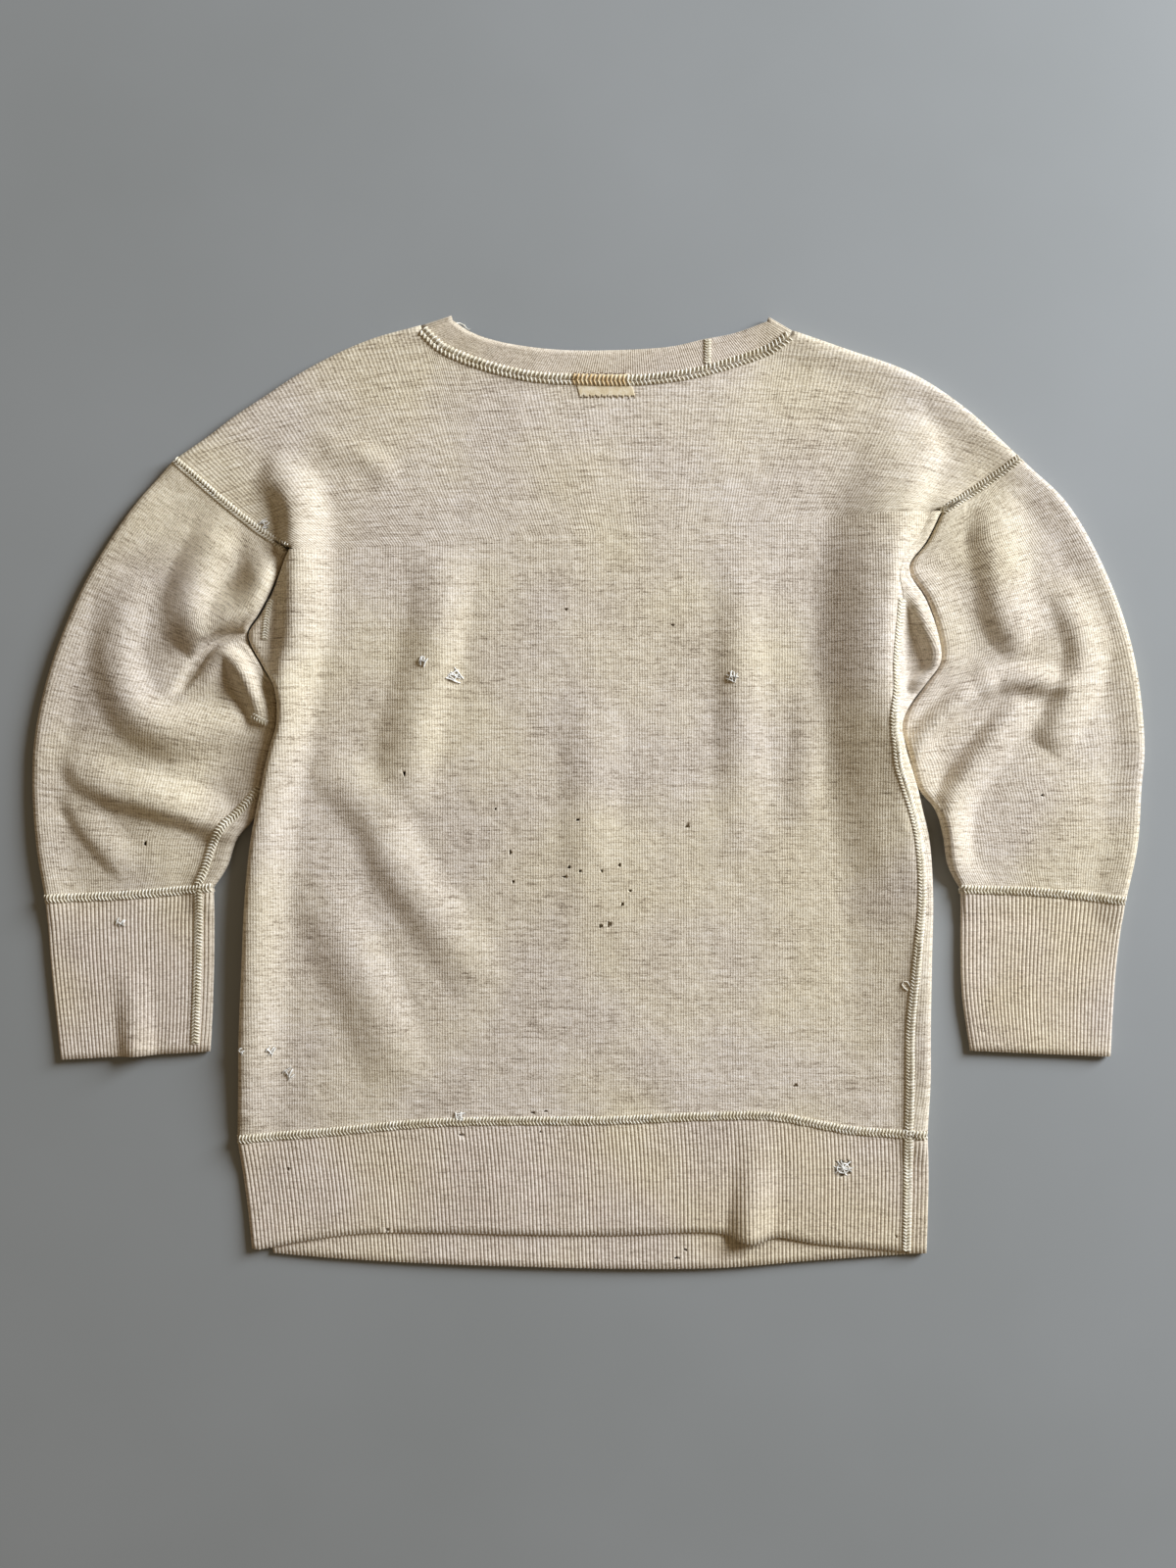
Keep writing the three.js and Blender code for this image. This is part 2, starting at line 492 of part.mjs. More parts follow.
// The hem's rib, in two pieces that meet where the panels do.
const HEM_ROWS = 5;
const hemSide = (points) => {
  const curve = curveThrough(points);
  return Array.from({ length: HEM_ROWS }, (_, j) => curve(j / (HEM_ROWS - 1)));
};
function hemRib(name, upper) {
  const rib = new Surface();
  const left = hemSide([leftSide[0], [-256, -313], [-252.5, -346.3]]);
  const right = hemSide([rightSide[0], [255.2, -290], [253.8, -347.8]]);
  const seamOver = right.map((p, j) => towards(p, left[j], BODY_SIDES[0][4] - touchInset));
  const from = left.map((p, j) => towards(p, right[j], upper ? CURL : WRAP + SEAM_GAP / 2));
  const to = (upper ? seamOver : right).map((p, j) => towards(p, left[j], upper ? SEAM_GAP / 2 : CURL));
  const seam = hemLine(upper ? HEM_SEAM_BACK : HEM_SEAM_FRONT, from[0], to[0]);
  const edge = hemLine(upper ? HEM_EDGE_BACK : HEM_EDGE_FRONT, from[HEM_ROWS - 1], to[HEM_ROWS - 1]);
  const belowSeam = (j) => (j === 0 ? -SEAM_GAP / 2 : 0);
  const rows = from.map((leftEnd, j) => COLUMNS.map((u, i) => {
    const t = j / (HEM_ROWS - 1);
    const x = mix(leftEnd[0], to[j][0], u);
    const y = mix(seam[i][1], edge[i][1], t) + mix(leftEnd[1], to[j][1], u) - mix(
      mix(from[0][1], to[0][1], u), mix(from[HEM_ROWS - 1][1], to[HEM_ROWS - 1][1], u), t);
    return [x, y + belowSeam(j), upper ? bodyHeight(x, y) : UNDER];
  }));
  const grid = rows.map((row, j) => row.map(([x, y, z]) => rib.point(x, y, z, atHem(j))));
  rib.rows(grid);
  const last = COLUMNS.length - 1;
  rib.rows(rows.map((row, j) => {
    const [x, y, z] = row[upper ? 0 : last];
    const inset = [x, y];
    const side = upper ? left[j] : right[j];
    const top = upper ? z : bodyHeight(x, y);
    const round = curl(inset, [side[0], side[1] + belowSeam(j)], top);
    if (upper) {
      const end = towards(left[j], right[j], WRAP - SEAM_GAP / 2);
      const under = [...round, [end[0], end[1] + belowSeam(j), UNDER]];
      return [...under.reverse().map((p) => rib.point(...p, atHem(j))), grid[j][0]];
    }
    const end = towards(seamOver[j], right[j], SEAM_GAP / 2);
    const over = [
      ...round.slice(0, -1).reverse(), [...inset, top], [end[0], end[1] + belowSeam(j), bodyHeight(...end)],
    ];
    return [grid[j][last], ...over.map((p) => rib.point(...p, atHem(j)))];
  }));
  add(name, rib, WALL, RIB);
}

// A flattened tube of cloth: a loop of points for each of its stations, over the top from
// the outer fold to the inner one, and back along the surface.
const ALONG_ROW = 12;
function flatTube(stations, heightAt) {
  const tube = new Surface();
  const end = stations.length - 1;
  tube.rows(stations.map(({ outer, inner, row, shift }, j) => {
    const across = j === 0 || j === end;
    const upper = row || Array.from({ length: ALONG_ROW + 1 }, (_, i) => {
      const length = Math.hypot(inner[0] - outer[0], inner[1] - outer[1]);
      return between(outer, inner, mix(CURL / length, 1 - CURL / length, i / ALONG_ROW));
    });
    const along = acrossFrom(outer, inner);
    const squareTo = upper.map((_, i) => {
      return acrossFrom(upper[Math.max(i - 1, 0)], upper[Math.min(i + 1, ALONG_ROW)]);
    });
    const loop = [];
    const put = ([x, y], z, square) => {
      loop.push([x + along.x * shift, y + along.y * shift, z, across ? square : undefined]);
    };
    upper.forEach((p, i) => put(p, heightAt(p, j), squareTo[i]));
    for (const [x, y, z] of curl(upper[ALONG_ROW], inner, heightAt(upper[ALONG_ROW], j))) {
      put([x, y], z, squareTo[ALONG_ROW]);
    }
    for (let i = ALONG_ROW - 2; i > 0; i -= 2) put(upper[i], UNDER, squareTo[i]);
    const round = curl(upper[0], outer, heightAt(upper[0], j)).reverse();
    round.forEach(([x, y, z]) => put([x, y], z, squareTo[0]));
    const numbers = loop.map((p) => tube.point(...p));
    return [...numbers, numbers[0]];
  }));
  return tube;
}

// A sleeve, from its armhole seam to its cuff's, and the cuff.
function sleeveAndCuff(side, parts) {
  const { armhole, outerPoints, innerPoints, bodySide, creases, cuff, turn } = parts;
  const touching = bodySide.slice(TOUCHING_FROM).reverse();
  const innerLine = moveSideways([...touching, ...innerPoints], -turn * touchInset);
  const outerLine = curveThrough(moveSideways(outerPoints, turn * (WALL / 2)));
  const lengths = [0];
  innerLine.slice(1).forEach((p, i) => {
    lengths.push(lengths[i] + Math.hypot(p[0] - innerLine[i][0], p[1] - innerLine[i][1]));
  });
  const folds = [...creases, outline(outerPoints), outline(touching), outline(innerPoints)];
  const sleeveHeight = (x, y) => LAID + liftAt(folds, x, y);
  const seam = moveSideways(armhole, (turn * SEAM_GAP) / 2).reverse();
  const [top, next] = seam;
  const outerEnd = towards(top, next, WALL / 2);
  const seamPoints = [
    towards(top, next, WALL / 2 + CURL), ...seam.slice(1, -1), towards(innerLine[0], seam[3], CURL),
  ];
  const seamRow = seamPoints.slice(1).flatMap((q, i) => {
    return [0, 1, 2].map((k) => between(seamPoints[i], q, k / 3));
  });
  seamRow.push(seamPoints[4]);
  const last = innerLine.length - 1;
  const stations = innerLine.map((inner, j) => ({
    inner,
    outer: j === 0 ? outerEnd : outerLine(lengths[j] / lengths[last]),
    row: j === 0 ? seamRow : undefined,
    shift: j === last ? (turn * SEAM_GAP) / 2 : 0,
  }));
  const heightAt = ([x, y], j) => mix(bodyHeight(x, y), sleeveHeight(x, y), Math.min(j / 3, 1));
  add(`sleeve_${side}`, flatTube(stations, heightAt), WALL, WOOL);
  const outerCuff = curveThrough([stations[last].outer, ...cuff.outer]);
  const innerCuff = curveThrough([innerLine[last], ...cuff.inner]);
  const cuffStations = [0, 0.25, 0.5, 0.75, 1].map((t) => ({
    outer: outerCuff(t), inner: innerCuff(t), shift: t === 0 ? (-turn * SEAM_GAP) / 2 : 0,
  }));
  add(`cuff_${side}`, flatTube(cuffStations, ([x, y]) => sleeveHeight(x, y)), WALL, RIB);
}

// The neckband: one band in a ring, laid flat, with a fold at each end of the back seam.
function neckband() {
  const band = new Surface();
  const sections = [];
  const corner = (i) => {
    const { out, place } = shoulderAt(i, WALL / 2 + CURL);
    const along = new THREE.Vector3(out.y, -out.x, 0).multiplyScalar(i === NECK_FIRST ? 1 : -1);
    const seam = [place[0] + along.x * SEAM_GAP, place[1] + along.y * SEAM_GAP];
    return { out, along, seam, edge: neckEdgeBack(i === NECK_FIRST ? 0 : 1) };
  };
  const section = (seam, edge, seamZ, edgeZ, across) => {
    sections.push({ seam: [...seam, seamZ], edge: [...edge, edgeZ], across });
  };
  const fold = (i) => {
    const { out, along, seam, edge } = corner(i);
    const reach = ([x, y]) => [x + out.x * CURL, y + out.y * CURL];
    const seams = curl(seam, reach(seam), bodyHeight(...shoulderAt(i, WALL / 2 + CURL).place));
    const edges = curl(edge, reach(edge), LAID + FOLD_RISE);
    return seams.map((p, k) => ({ seam: p, edge: edges[k], across: along }));
  };
  const first = corner(NECK_FIRST);
  section(first.seam, first.edge, bodyHeight(...first.seam), LAID + FOLD_RISE, first.along);
  for (let i = NECK_FIRST + 1; i < NECK_LAST; i++) {
    const { across, place } = neckAt(neckSeamBack, i, SEAM_GAP / 2);
    section(place, neckEdgeBack(neckShare(i)), bodyHeight(...place), LAID + FOLD_RISE / 2, across);
  }
  const end = corner(NECK_LAST);
  section(end.seam, end.edge, bodyHeight(...end.seam), LAID + FOLD_RISE, end.along);
  sections.push(...fold(NECK_LAST));
  for (let i = NECK_LAST - 1; i > NECK_FIRST; i--) {
    const { across, place } = neckAt(neckSeamFront, i, SEAM_GAP / 2);
    const edge = [place[0] + across.x * BAND_WIDTH, place[1] + across.y * BAND_WIDTH];
    section(place, edge, UNDER, UNDER, across);
  }
  sections.push(...fold(NECK_FIRST).reverse());
  const rows = sections.map(({ seam, edge, across }) => [0, 0.5, 1].map((t) => {
    return band.point(...between(seam, edge, t), mix(seam[2], edge[2], t), t === 0 ? across : undefined);
  }));
  band.rows([...rows, rows[0]]);
  add("neckband", band, WALL, RIB);
}

// What is left of a label: a strip across the back of the neck seam, made from the panel's
// own points and moved out.
function labelStub() {
  const label = new Surface();
  const lift = WALL / 2 + SEAM_GAP + LABEL_WALL / 2;
  const [left, right] = LABEL_ENDS;
  label.rows(LABEL_ROWS.map((y) => Array.from({ length: 7 }, (_, i) => {
    const x = mix(left, right, i / 6) - LABEL_SLANT * (y - LABEL_ROWS[3]);
    const climb = LABEL_CLIMB[1] * Math.max(y - LABEL_CLIMB[0], 0);
    return label.point(x, y, bodyHeight(x, y) + lift + climb);
  })));
  add("label_stub", label, LABEL_WALL, TAPE);
}

backPanel();
frontPanel();
hemRib("hem_back", true);
hemRib("hem_front", false);
sleeveAndCuff("left", {
  armhole: ARMHOLE_LEFT, outerPoints: SLEEVE_LEFT_OUTER, innerPoints: SLEEVE_LEFT_INNER, bodySide: bodyLeft,
  creases: LEFT_SLEEVE_CREASES, turn: 1,
  cuff: CUFF_LEFT,
});
sleeveAndCuff("right", {
  armhole: ARMHOLE_RIGHT, outerPoints: SLEEVE_RIGHT_OUTER, innerPoints: SLEEVE_RIGHT_INNER,
  bodySide: bodyRight,
  creases: RIGHT_SLEEVE_CREASES, turn: -1,
  cuff: CUFF_RIGHT,
});
neckband();
labelStub();

// Stands the whole on the surface, with the origin under the middle of its box.
const box = new THREE.Box3().setFromObject(sweater);
sweater.position.set(-(box.min.x + box.max.x) / 2, -(box.min.y + box.max.y) / 2, -box.min.z);

export default sweater;
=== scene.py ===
# %% [markdown]
# # A darned wool pullover, laid out flat
# The pullover lies on a pale floor, inside out and back uppermost. Cloth that lies like this is
# two layers joined by folds. It could be draped with Blender's cloth simulation, but a
# simulation chooses its own folds. Here each piece of knitting is a thin shell whose folds
# are given as soft ridges, and ribs, seams, darns and holes are then made on it.

# %% Load the fixed frame
import math
import random

import bmesh
import bpy
import numpy as np
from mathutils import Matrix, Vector
from mathutils.bvhtree import BVHTree


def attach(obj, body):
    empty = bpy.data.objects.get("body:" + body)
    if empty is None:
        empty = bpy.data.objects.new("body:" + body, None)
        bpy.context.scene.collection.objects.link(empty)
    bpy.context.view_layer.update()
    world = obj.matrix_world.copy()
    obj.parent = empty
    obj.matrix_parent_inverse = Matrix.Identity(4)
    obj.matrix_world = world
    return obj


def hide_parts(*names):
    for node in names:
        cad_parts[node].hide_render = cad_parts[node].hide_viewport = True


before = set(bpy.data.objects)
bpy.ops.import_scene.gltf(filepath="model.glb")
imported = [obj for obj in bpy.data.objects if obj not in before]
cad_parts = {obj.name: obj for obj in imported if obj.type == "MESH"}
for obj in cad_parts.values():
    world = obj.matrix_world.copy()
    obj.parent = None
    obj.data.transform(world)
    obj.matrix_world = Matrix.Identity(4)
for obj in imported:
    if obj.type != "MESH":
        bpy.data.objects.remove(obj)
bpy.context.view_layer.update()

MM = 0.001
print("frame nodes:", ", ".join(sorted(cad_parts)))

# %% [markdown]
# ## Sizes of the cloth
# All lengths here are in millimetres and become metres when a mesh is made. The lower layer
# lies on the floor, the upper one lies on it, and near a folded edge the upper layer rises,
# because wool this thick can't be creased sharply.

# %% Driving sizes
WALL = 2.2  # the knitting's thickness
LAYER_GAP = 0.6
UNDER = WALL / 2  # the middle of the layer on the floor
LAID = UNDER + WALL + LAYER_GAP  # the middle of the layer that lies on it
FOLD_RISE = 3.2  # how much higher the upper layer is at a folded edge
FOLD_REACH = 28  # how far in from the edge that rise can be felt
CURL = 4  # how far in from its edge a fold starts to turn down
WRAP = 15  # how far in under the left fold the back's cloth goes
SHOULDER_WRAP = 9
SEAM_GAP = 0.3
TOUCH_GAP = 0.9  # between the body and the sleeves where their outlines touch
TOUCH_INSET = (WALL + TOUCH_GAP) / 2
BAND_WIDTH = 21
BODY_STEP = 4.0  # between the rows of the body's grid
CENTRED = (-0.08, 1.17)  # from the drawing's origin to the frame's
print("cloth wall", WALL, "mm, upper layer at", LAID, "mm")

# %% [markdown]
# ## The outline
# A garment's outline is a few smooth stretches between the points where seams meet. The body
# has stations from the hem seam to the top of its side seams, each with a place on the left
# edge, one on the right edge, and how far in from there the right side seam runs.

# %% Outline points
BODY_SIDES = [
    (-264.6, -262.7, 255.7, -259.7, 15.5),
    (-263.8, -223.5, 257.9, -219.8, 17),
    (-263.1, -182.8, 257.9, -179.1, 17),
    (-260.9, -134.7, 258.6, -131, 13.5),
    (-258.6, -85.1, 259.4, -79.2, 10.5),
    (-254.2, -40, 256.4, -35.5, 10.5),
    (-250.5, -20, 251.2, -14.1, 10.5),
    (-246, 1.5, 247.5, 1.5, 12),
    (-243.8, 13.3, 242.3, 17.8, 12),
    (-239.4, 31.8, 237.2, 34.8, 9),
    (-234.2, 50.3, 235.7, 51.8, 9),
    (-235.7, 77, 252.7, 78.4, 23),
    (-246, 94, 264.6, 96.2, 35),
    (-256.4, 116.9, 263.1, 116.2, 32),
    (-247.5, 131.7, 254.2, 143.6, 20),
    (-240.1, 145, 240.9, 166.5, 9),
    (-232, 162.8, 254.9, 187.2, 9),
    (-224.6, 179.8, 266, 209.4, 9),
]
ARMHOLES = {
    "left": [(-224.6, 179.8), (-248.3, 195.6), (-270.5, 213), (-291, 230.5), (-311.9, 248.6)],
    "right": [(266, 209.4), (280.8, 218.8), (295.6, 228.6), (310.4, 239), (325.2, 250.1)],
}
SHOULDERS = {
    "left": [(-311.9, 248.6), (-285.3, 267.1), (-266.8, 281.2), (-244.6, 296), (-222.4, 310.8),
             (-192.8, 327.1), (-163.2, 339.7), (-126.2, 350)],
    "right": [(153.6, 346.3), (192, 333), (243.8, 313.8), (284.5, 287.1), (325.2, 250.1)],
}
NECK_SEAM_BACK = [
    (-124.8, 345.1), (-111.4, 333), (-88.4, 322.6), (-61, 314.5), (-36.6, 310.1), (-9.2, 308.6),
    (29.2, 307.8), (74.4, 312.3), (108.4, 321.2), (138, 332), (151.9, 341.5),
]
NECK_EDGE_BACK = [
    (-101.8, 352.7), (-88.4, 344.3), (-67.7, 337.4), (-27, 331.5), (18.1, 330.8), (63.3, 333.7),
    (86.2, 338.9), (108.4, 343.1), (134.2, 351.9),
]
NECK_SEAM_FRONT = [
    (-124.8, 345.1), (-114, 316), (-82, 281), (-30, 262), (10.7, 258.3), (58.8, 263.4),
    (108, 284), (141, 315), (151.9, 341.5),
]
HEM_SEAM_BACK = [
    (-264.6, -262.7), (-196.5, -257.5), (-111.4, -250.1), (12.9, -248.6), (88.4, -245.7),
    (138.8, -245.7), (197.9, -256), (255.7, -259.7),
]
HEM_EDGE_BACK = [
    (-254.9, -346.3), (-212, -338.2), (-168.3, -333), (12.9, -334.5), (98.8, -333),
    (121, -339.5), (142.4, -336), (168.3, -340.4), (207.6, -344.1), (255.7, -347.8),
]
HEM_SEAM_FRONT = [
    (-264.6, -262.7), (-186.8, -272), (-30, -279), (128.4, -278), (255.7, -259.7),
]
HEM_EDGE_FRONT = [
    (-254.9, -346.3), (-186.8, -352.2), (-74.4, -357.4), (89.2, -359.5), (168.3, -353.7),
    (255.7, -347.8),
]
SLEEVE_OUTER = {
    "left": [(-311.9, 248.6), (-344.5, 210.9), (-378.5, 156.9), (-404.4, 94), (-416.2, 42.9),
             (-418.4, 5.9), (-414.8, -45.9), (-408.9, -81)],
    "right": [(325.2, 250.1), (360, 216.1), (390.4, 162.1), (410.3, 102.1), (418.4, 34.8),
              (416.2, 1.5), (413.3, -40.7), (404.4, -83.6)],
}
SLEEVE_INNER = {
    "left": [(-250.5, -20), (-263.8, -37), (-271.2, -57.7), (-281.5, -73.5)],
    "right": [(259.4, -14.1), (265.3, -32.6), (269.7, -56.9), (279.4, -74.7)],
}
TOUCHING_FROM = 7  # the body's station from which up a sleeve lies against its side
CUFF_OUTER = {
    "left": [(-408.9, -81), (-404.5, -130), (-397, -202.8)],
    "right": [(404.4, -83.6), (397, -134.7), (392.6, -200.5)],
}
CUFF_INNER = {
    "left": [(-281.5, -73.5), (-283, -130), (-285.3, -196.5)],
    "right": [(279.4, -74.7), (281.6, -150), (288.2, -196.1)],
}
print("body stations:", len(BODY_SIDES))

# %% [markdown]
# ## Folds
# A fold is a crest line with a rise at each point, and the reach of its slope to the left
# and to the right of the way the line runs. A negative rise is a dent. The same soft bell
# shape, (1 - q squared) squared, serves for all of them, because wool bends in smooth curves.

# %% Crests of the folds, as x, y and rise
BODY_CREASES = [
    # The roll down the left side, which curves in from the shoulder.
    ([(-248, 236, 0), (-243, 234, 3), (-233.5, 230, 7), (-225, 221, 10), (-220.2, 206, 12),
      (-219.4, 183.5, 12.5), (-220.2, 139, 12.5), (-222.4, 113, 12.5), (-228, 83.6, 12),
      (-232, 57.7, 11.5), (-236, 31.8, 10.5), (-241, -1.5, 9.5), (-246, -38.5, 8.5),
      (-250, -90, 8), (-252, -142, 7), (-254, -201, 5), (-255, -240, 2)], 30, 15),
    ([(-205, 254.6, 0), (-190, 256, 2), (-170, 252, 2.5), (-154, 238, 1.5), (-148, 225, 0)], 14, 14),
    ([(-108.4, 183.5, 0), (-108.4, 165, 3), (-112.9, 124.3, 6), (-118.8, 88.8, 6.5),
      (-127.7, 59.2, 6.5), (-133.6, 26.6, 6), (-136.5, -3, 4), (-137, -22, 0)], 26, 30),
    ([(-206, 22, 0), (-196, 14, 2.5), (-176.5, -3, 4.5), (-156, -27.4, 5.5), (-146.9, -53.3, 6),
      (-129.9, -79.2, 5.5), (-111.4, -105.1, 4.5), (-91.4, -133.2, 2.5), (-78, -156.9, 0)], 30, 24),
    ([(-206, -40, 0), (-200, -60, 1.5), (-195, -82.9, 3), (-185.4, -108.8, 4.5), (-173.5, -134.7, 5.5),
      (-159.5, -164.3, 5.5), (-148.4, -190.2, 4), (-137.3, -216, 1.5), (-132, -228, 0)], 28, 34),
    ([(0, 80, 0), (0, 60, 1.2), (0, 20, 2.6), (0, -30, 2.6), (1, -68, 1.2), (2, -105, 0)], 30, 26),
    ([(114.3, 190, 0), (114.3, 165, 1.5), (113.5, 120, 3.5), (114, 60, 4), (115.5, 10, 3),
      (117, -40, 1), (118, -72, 0)], 26, 22),
    ([(165.4, 92, 0), (165.4, 65.1, 1.2), (163.9, 35.5, 2.2), (162.4, -1.5, 2), (162.4, -36, 0)], 18, 16),
    # The roll down the right side, and the rim of the flap at its armpit.
    ([(264, 268, 0), (254.9, 261.2, 4), (243.8, 235.3, 9), (230.5, 198.3, 13), (224, 168.7, 15.5),
      (221, 124.3, 16), (221.5, 79.9, 15.5), (226, 35.5, 14), (233, -8.9, 12), (240.5, -53.3, 10),
      (243, -112.5, 6), (246, -170, 3), (248, -225, 1)], 22, 54),
    ([(240, 150, 4), (251, 126, 7), (259, 103, 8), (257, 88, 8), (245, 80, 6)], 8, 8),
    # The hem's fold.
    ([(128, -245, 0), (127, -268, 1), (124, -303, 4), (121, -337, 8)], 20, 19),
]
SLEEVE_CREASES = {
    "left": [
        ([(-285, 205, 0), (-306, 130, 4), (-320, 40, 4.5), (-335, -40, 3), (-340, -75, 0)], 50, 95),
        ([(-262, 212, 0), (-268.3, 205.7, 3), (-280.1, 183.5, 6), (-291.9, 161.3, 7),
          (-299.3, 139.1, 7), (-299, 124, 5), (-297, 112, 2), (-296, 106, 0)], 20, 24),
        ([(-236, 205, 0), (-236, 190, 7), (-239, 168, 11), (-246, 148, 12.5), (-258, 134, 13),
          (-272, 127, 13), (-285, 120, 11), (-295, 110, 6), (-302, 102, 0)], 11, 26),
        # The fold that hangs round the armpit like a bowl.
        ([(-344, 168, 0), (-345.9, 153.9, 2), (-348.9, 133.9, 4), (-352.6, 102.9, 5.5),
          (-346.7, 74, 6.5), (-333.4, 54, 7.5), (-309.7, 43.5, 8.5), (-285.3, 46.6, 8.5), (-266, 54, 6),
          (-256, 60, 0)], 22, 26),
        # The tongue of cloth that the armpit pushes out, and the gap over it.
        ([(-294, 70, 0), (-286, 82, 3), (-279, 94, 6), (-272, 101, 8), (-264, 95, 10), (-256, 82, 10.5),
          (-249, 66, 9), (-245, 53, 5), (-243, 44, 0)], 11, 13),
        ([(-318, 66, 0), (-310, 73, -2), (-302.3, 81.4, -6), (-294.2, 93.2, -10),
          (-284.5, 108, -14), (-274.2, 114, -15), (-263.1, 115.5, -15), (-254.2, 111.7, -15),
          (-246, 100.6, -15), (-240.1, 87.3, -13), (-235, 71, -8)], 7, 6),
        ([(-392, 34, 0), (-387, 22, 2), (-381.5, 13.3, 4), (-361.5, 0, 7), (-333.4, -7.4, 8.5),
          (-303.8, -16.3, 8.5), (-280.1, -25.2, 6), (-270, -28, 3)], 26, 15),
        ([(-398, 10, 0), (-386, -12, 2.5), (-373, -32, 3.5), (-356, -52, 3), (-345, -64, 0)], 22, 12),
        ([(-345, -130, 0), (-343, -155, 2), (-341, -182, 4.5), (-339, -204, 7)], 17, 15),
    ],
    "right": [
        ([(295, 200, 0), (335, 120, 2), (345, 20, 2), (345, -70, 0)], 60, 75),
        ([(291, 236, 0), (298, 224, 2.5), (303, 189.4, 5.5), (306.7, 158.4, 6.5), (311.2, 131, 7.5),
          (320, 117, 6), (330, 110, 2), (336, 107, 0)], 30, 20),
        ([(355, 158, 0), (359, 148, 2), (362.2, 133.9, 4), (370.4, 108.8, 5.5), (367.4, 84.4, 6.5),
          (354.8, 56.2, 6.5), (345.2, 40.7, 4), (340, 33, 0)], 24, 16),
        ([(290, 76, 0), (302.3, 80.4, 4), (325.2, 82.9, 5.5), (345.2, 79.9, 5), (358, 78, 2.5),
          (366, 77, 0)], 16, 11),
        ([(328, 68, 0), (325.2, 62.2, 3), (310.4, 46.6, 7), (294.2, 26.6, 9), (279.4, 5.9, 10),
          (269.5, -17.8, 10), (268, -40, 8), (270, -60, 4), (271, -70, 0)], 22, 14),
        ([(240, 24, 2), (243.8, 29.6, 5), (254.9, 44.4, 8.5), (269.7, 59.2, 9.5), (284.5, 71, 8),
          (299.3, 78, 4), (308, 80, 0)], 13, 11),
    ],
}
print("folds:", len(BODY_CREASES) + sum(map(len, SLEEVE_CREASES.values())))

# %% [markdown]
# ## Lines and heights
# Everything that follows needs three helpers: a smooth line through given points, a
# line moved sideways, and the height of the upper layer at a place.

# %% Smooth lines
DENSE = 12


def smooth(points, dense=DENSE):
    """A smooth line through points, with the same number of steps between each two."""
    p = np.array(points, float)
    p = np.vstack([2 * p[0] - p[1], p, 2 * p[-1] - p[-2]])
    knots = np.concatenate([[0], np.cumsum(np.sqrt(np.hypot(*np.diff(p[:, :2], axis=0).T)))])
    line = []
    for i in range(1, len(p) - 2):
        k0, k1, k2, k3 = knots[i - 1:i + 3]
        k = np.linspace(k1, k2, dense, endpoint=False)[:, None]
        a1 = (k1 - k) / (k1 - k0) * p[i - 1] + (k - k0) / (k1 - k0) * p[i]
        a2 = (k2 - k) / (k2 - k1) * p[i] + (k - k1) / (k2 - k1) * p[i + 1]
        a3 = (k3 - k) / (k3 - k2) * p[i + 1] + (k - k2) / (k3 - k2) * p[i + 2]
        b1 = (k2 - k) / (k2 - k0) * a1 + (k - k0) / (k2 - k0) * a2
        b2 = (k3 - k) / (k3 - k1) * a2 + (k - k1) / (k3 - k1) * a3
        line.append((k2 - k) / (k2 - k1) * b1 + (k - k1) / (k2 - k1) * b2)
    return np.vstack([*line, p[-2:-1]])


def lengths(line):
    """How far along a line each of its points is."""
    return np.concatenate([[0], np.cumsum(np.linalg.norm(np.diff(line, axis=0), axis=1))])


def along(line, shares):
    """The places at shares of a line's length."""
    far = lengths(line)
    shares = np.asarray(shares) * far[-1]
    return np.stack([np.interp(shares, far, line[:, k]) for k in range(line.shape[1])], -1)


def sideways(line):
    """The direction to the left of the way a line runs, at each of its points."""
    run = np.gradient(line[:, :2], axis=0)
    run /= np.linalg.norm(run, axis=1)[:, None]
    return np.stack([-run[:, 1], run[:, 0]], -1)


def towards(a, b, distance):
    """Points at a distance from the points a towards the points b."""
    gap = b - a
    return a + gap / np.linalg.norm(gap, axis=-1)[..., None] * np.asarray(distance)[..., None]


def mix(a, b, t):
    return a + (b - a) * t


left_edge = smooth([(s[0], s[1]) for s in BODY_SIDES])
right_edge = smooth([(s[2], s[3]) for s in BODY_SIDES])
print("body side", round(lengths(left_edge)[-1]), "mm long")

# %% Heights
CREST_STEPS = 5
LOWEST_DIP = -0.3


def lift(creases, x, y):
    """How far a list of creases lifts the cloth at places x, y."""
    total = np.zeros(np.shape(x))
    for crest, left, right in creases:
        line = smooth(crest, CREST_STEPS)
        nearest = np.full(np.shape(x), np.inf)
        rise = np.zeros(np.shape(x))
        reach = np.ones(np.shape(x))
        for (ax, ay, ah), (bx, by, bh) in zip(line, line[1:]):
            run = (bx - ax) ** 2 + (by - ay) ** 2
            t = np.clip(((x - ax) * (bx - ax) + (y - ay) * (by - ay)) / run, 0, 1)
            distance = np.hypot(x - mix(ax, bx, t), y - mix(ay, by, t))
            side = (bx - ax) * (y - ay) - (by - ay) * (x - ax)
            closer = distance < nearest
            nearest = np.where(closer, distance, nearest)
            rise = np.where(closer, mix(ah, bh, t), rise)
            reach = np.where(closer, np.where(side > 0, left, right), reach)
        share = np.clip(nearest / reach, 0, 1)
        total += rise * (1 - share ** 2) ** 2
    return total


def fold_edge(points):
    """A folded edge lifts the cloth beside it."""
    return ([(x, y, FOLD_RISE) for x, y in points], FOLD_REACH, FOLD_REACH)


def waves(x, y):
    """The faint unevenness of cloth smoothed out by hand, at most 0.6 mm up or down."""
    slow = np.sin(x / 31 + 1.3 * np.sin(y / 57)) * np.sin(y / 43 + 0.9 * np.sin(x / 71))
    quick = np.sin(x / 11 + y / 29) * np.sin(y / 17 - x / 37)
    return 0.45 * slow + 0.15 * quick


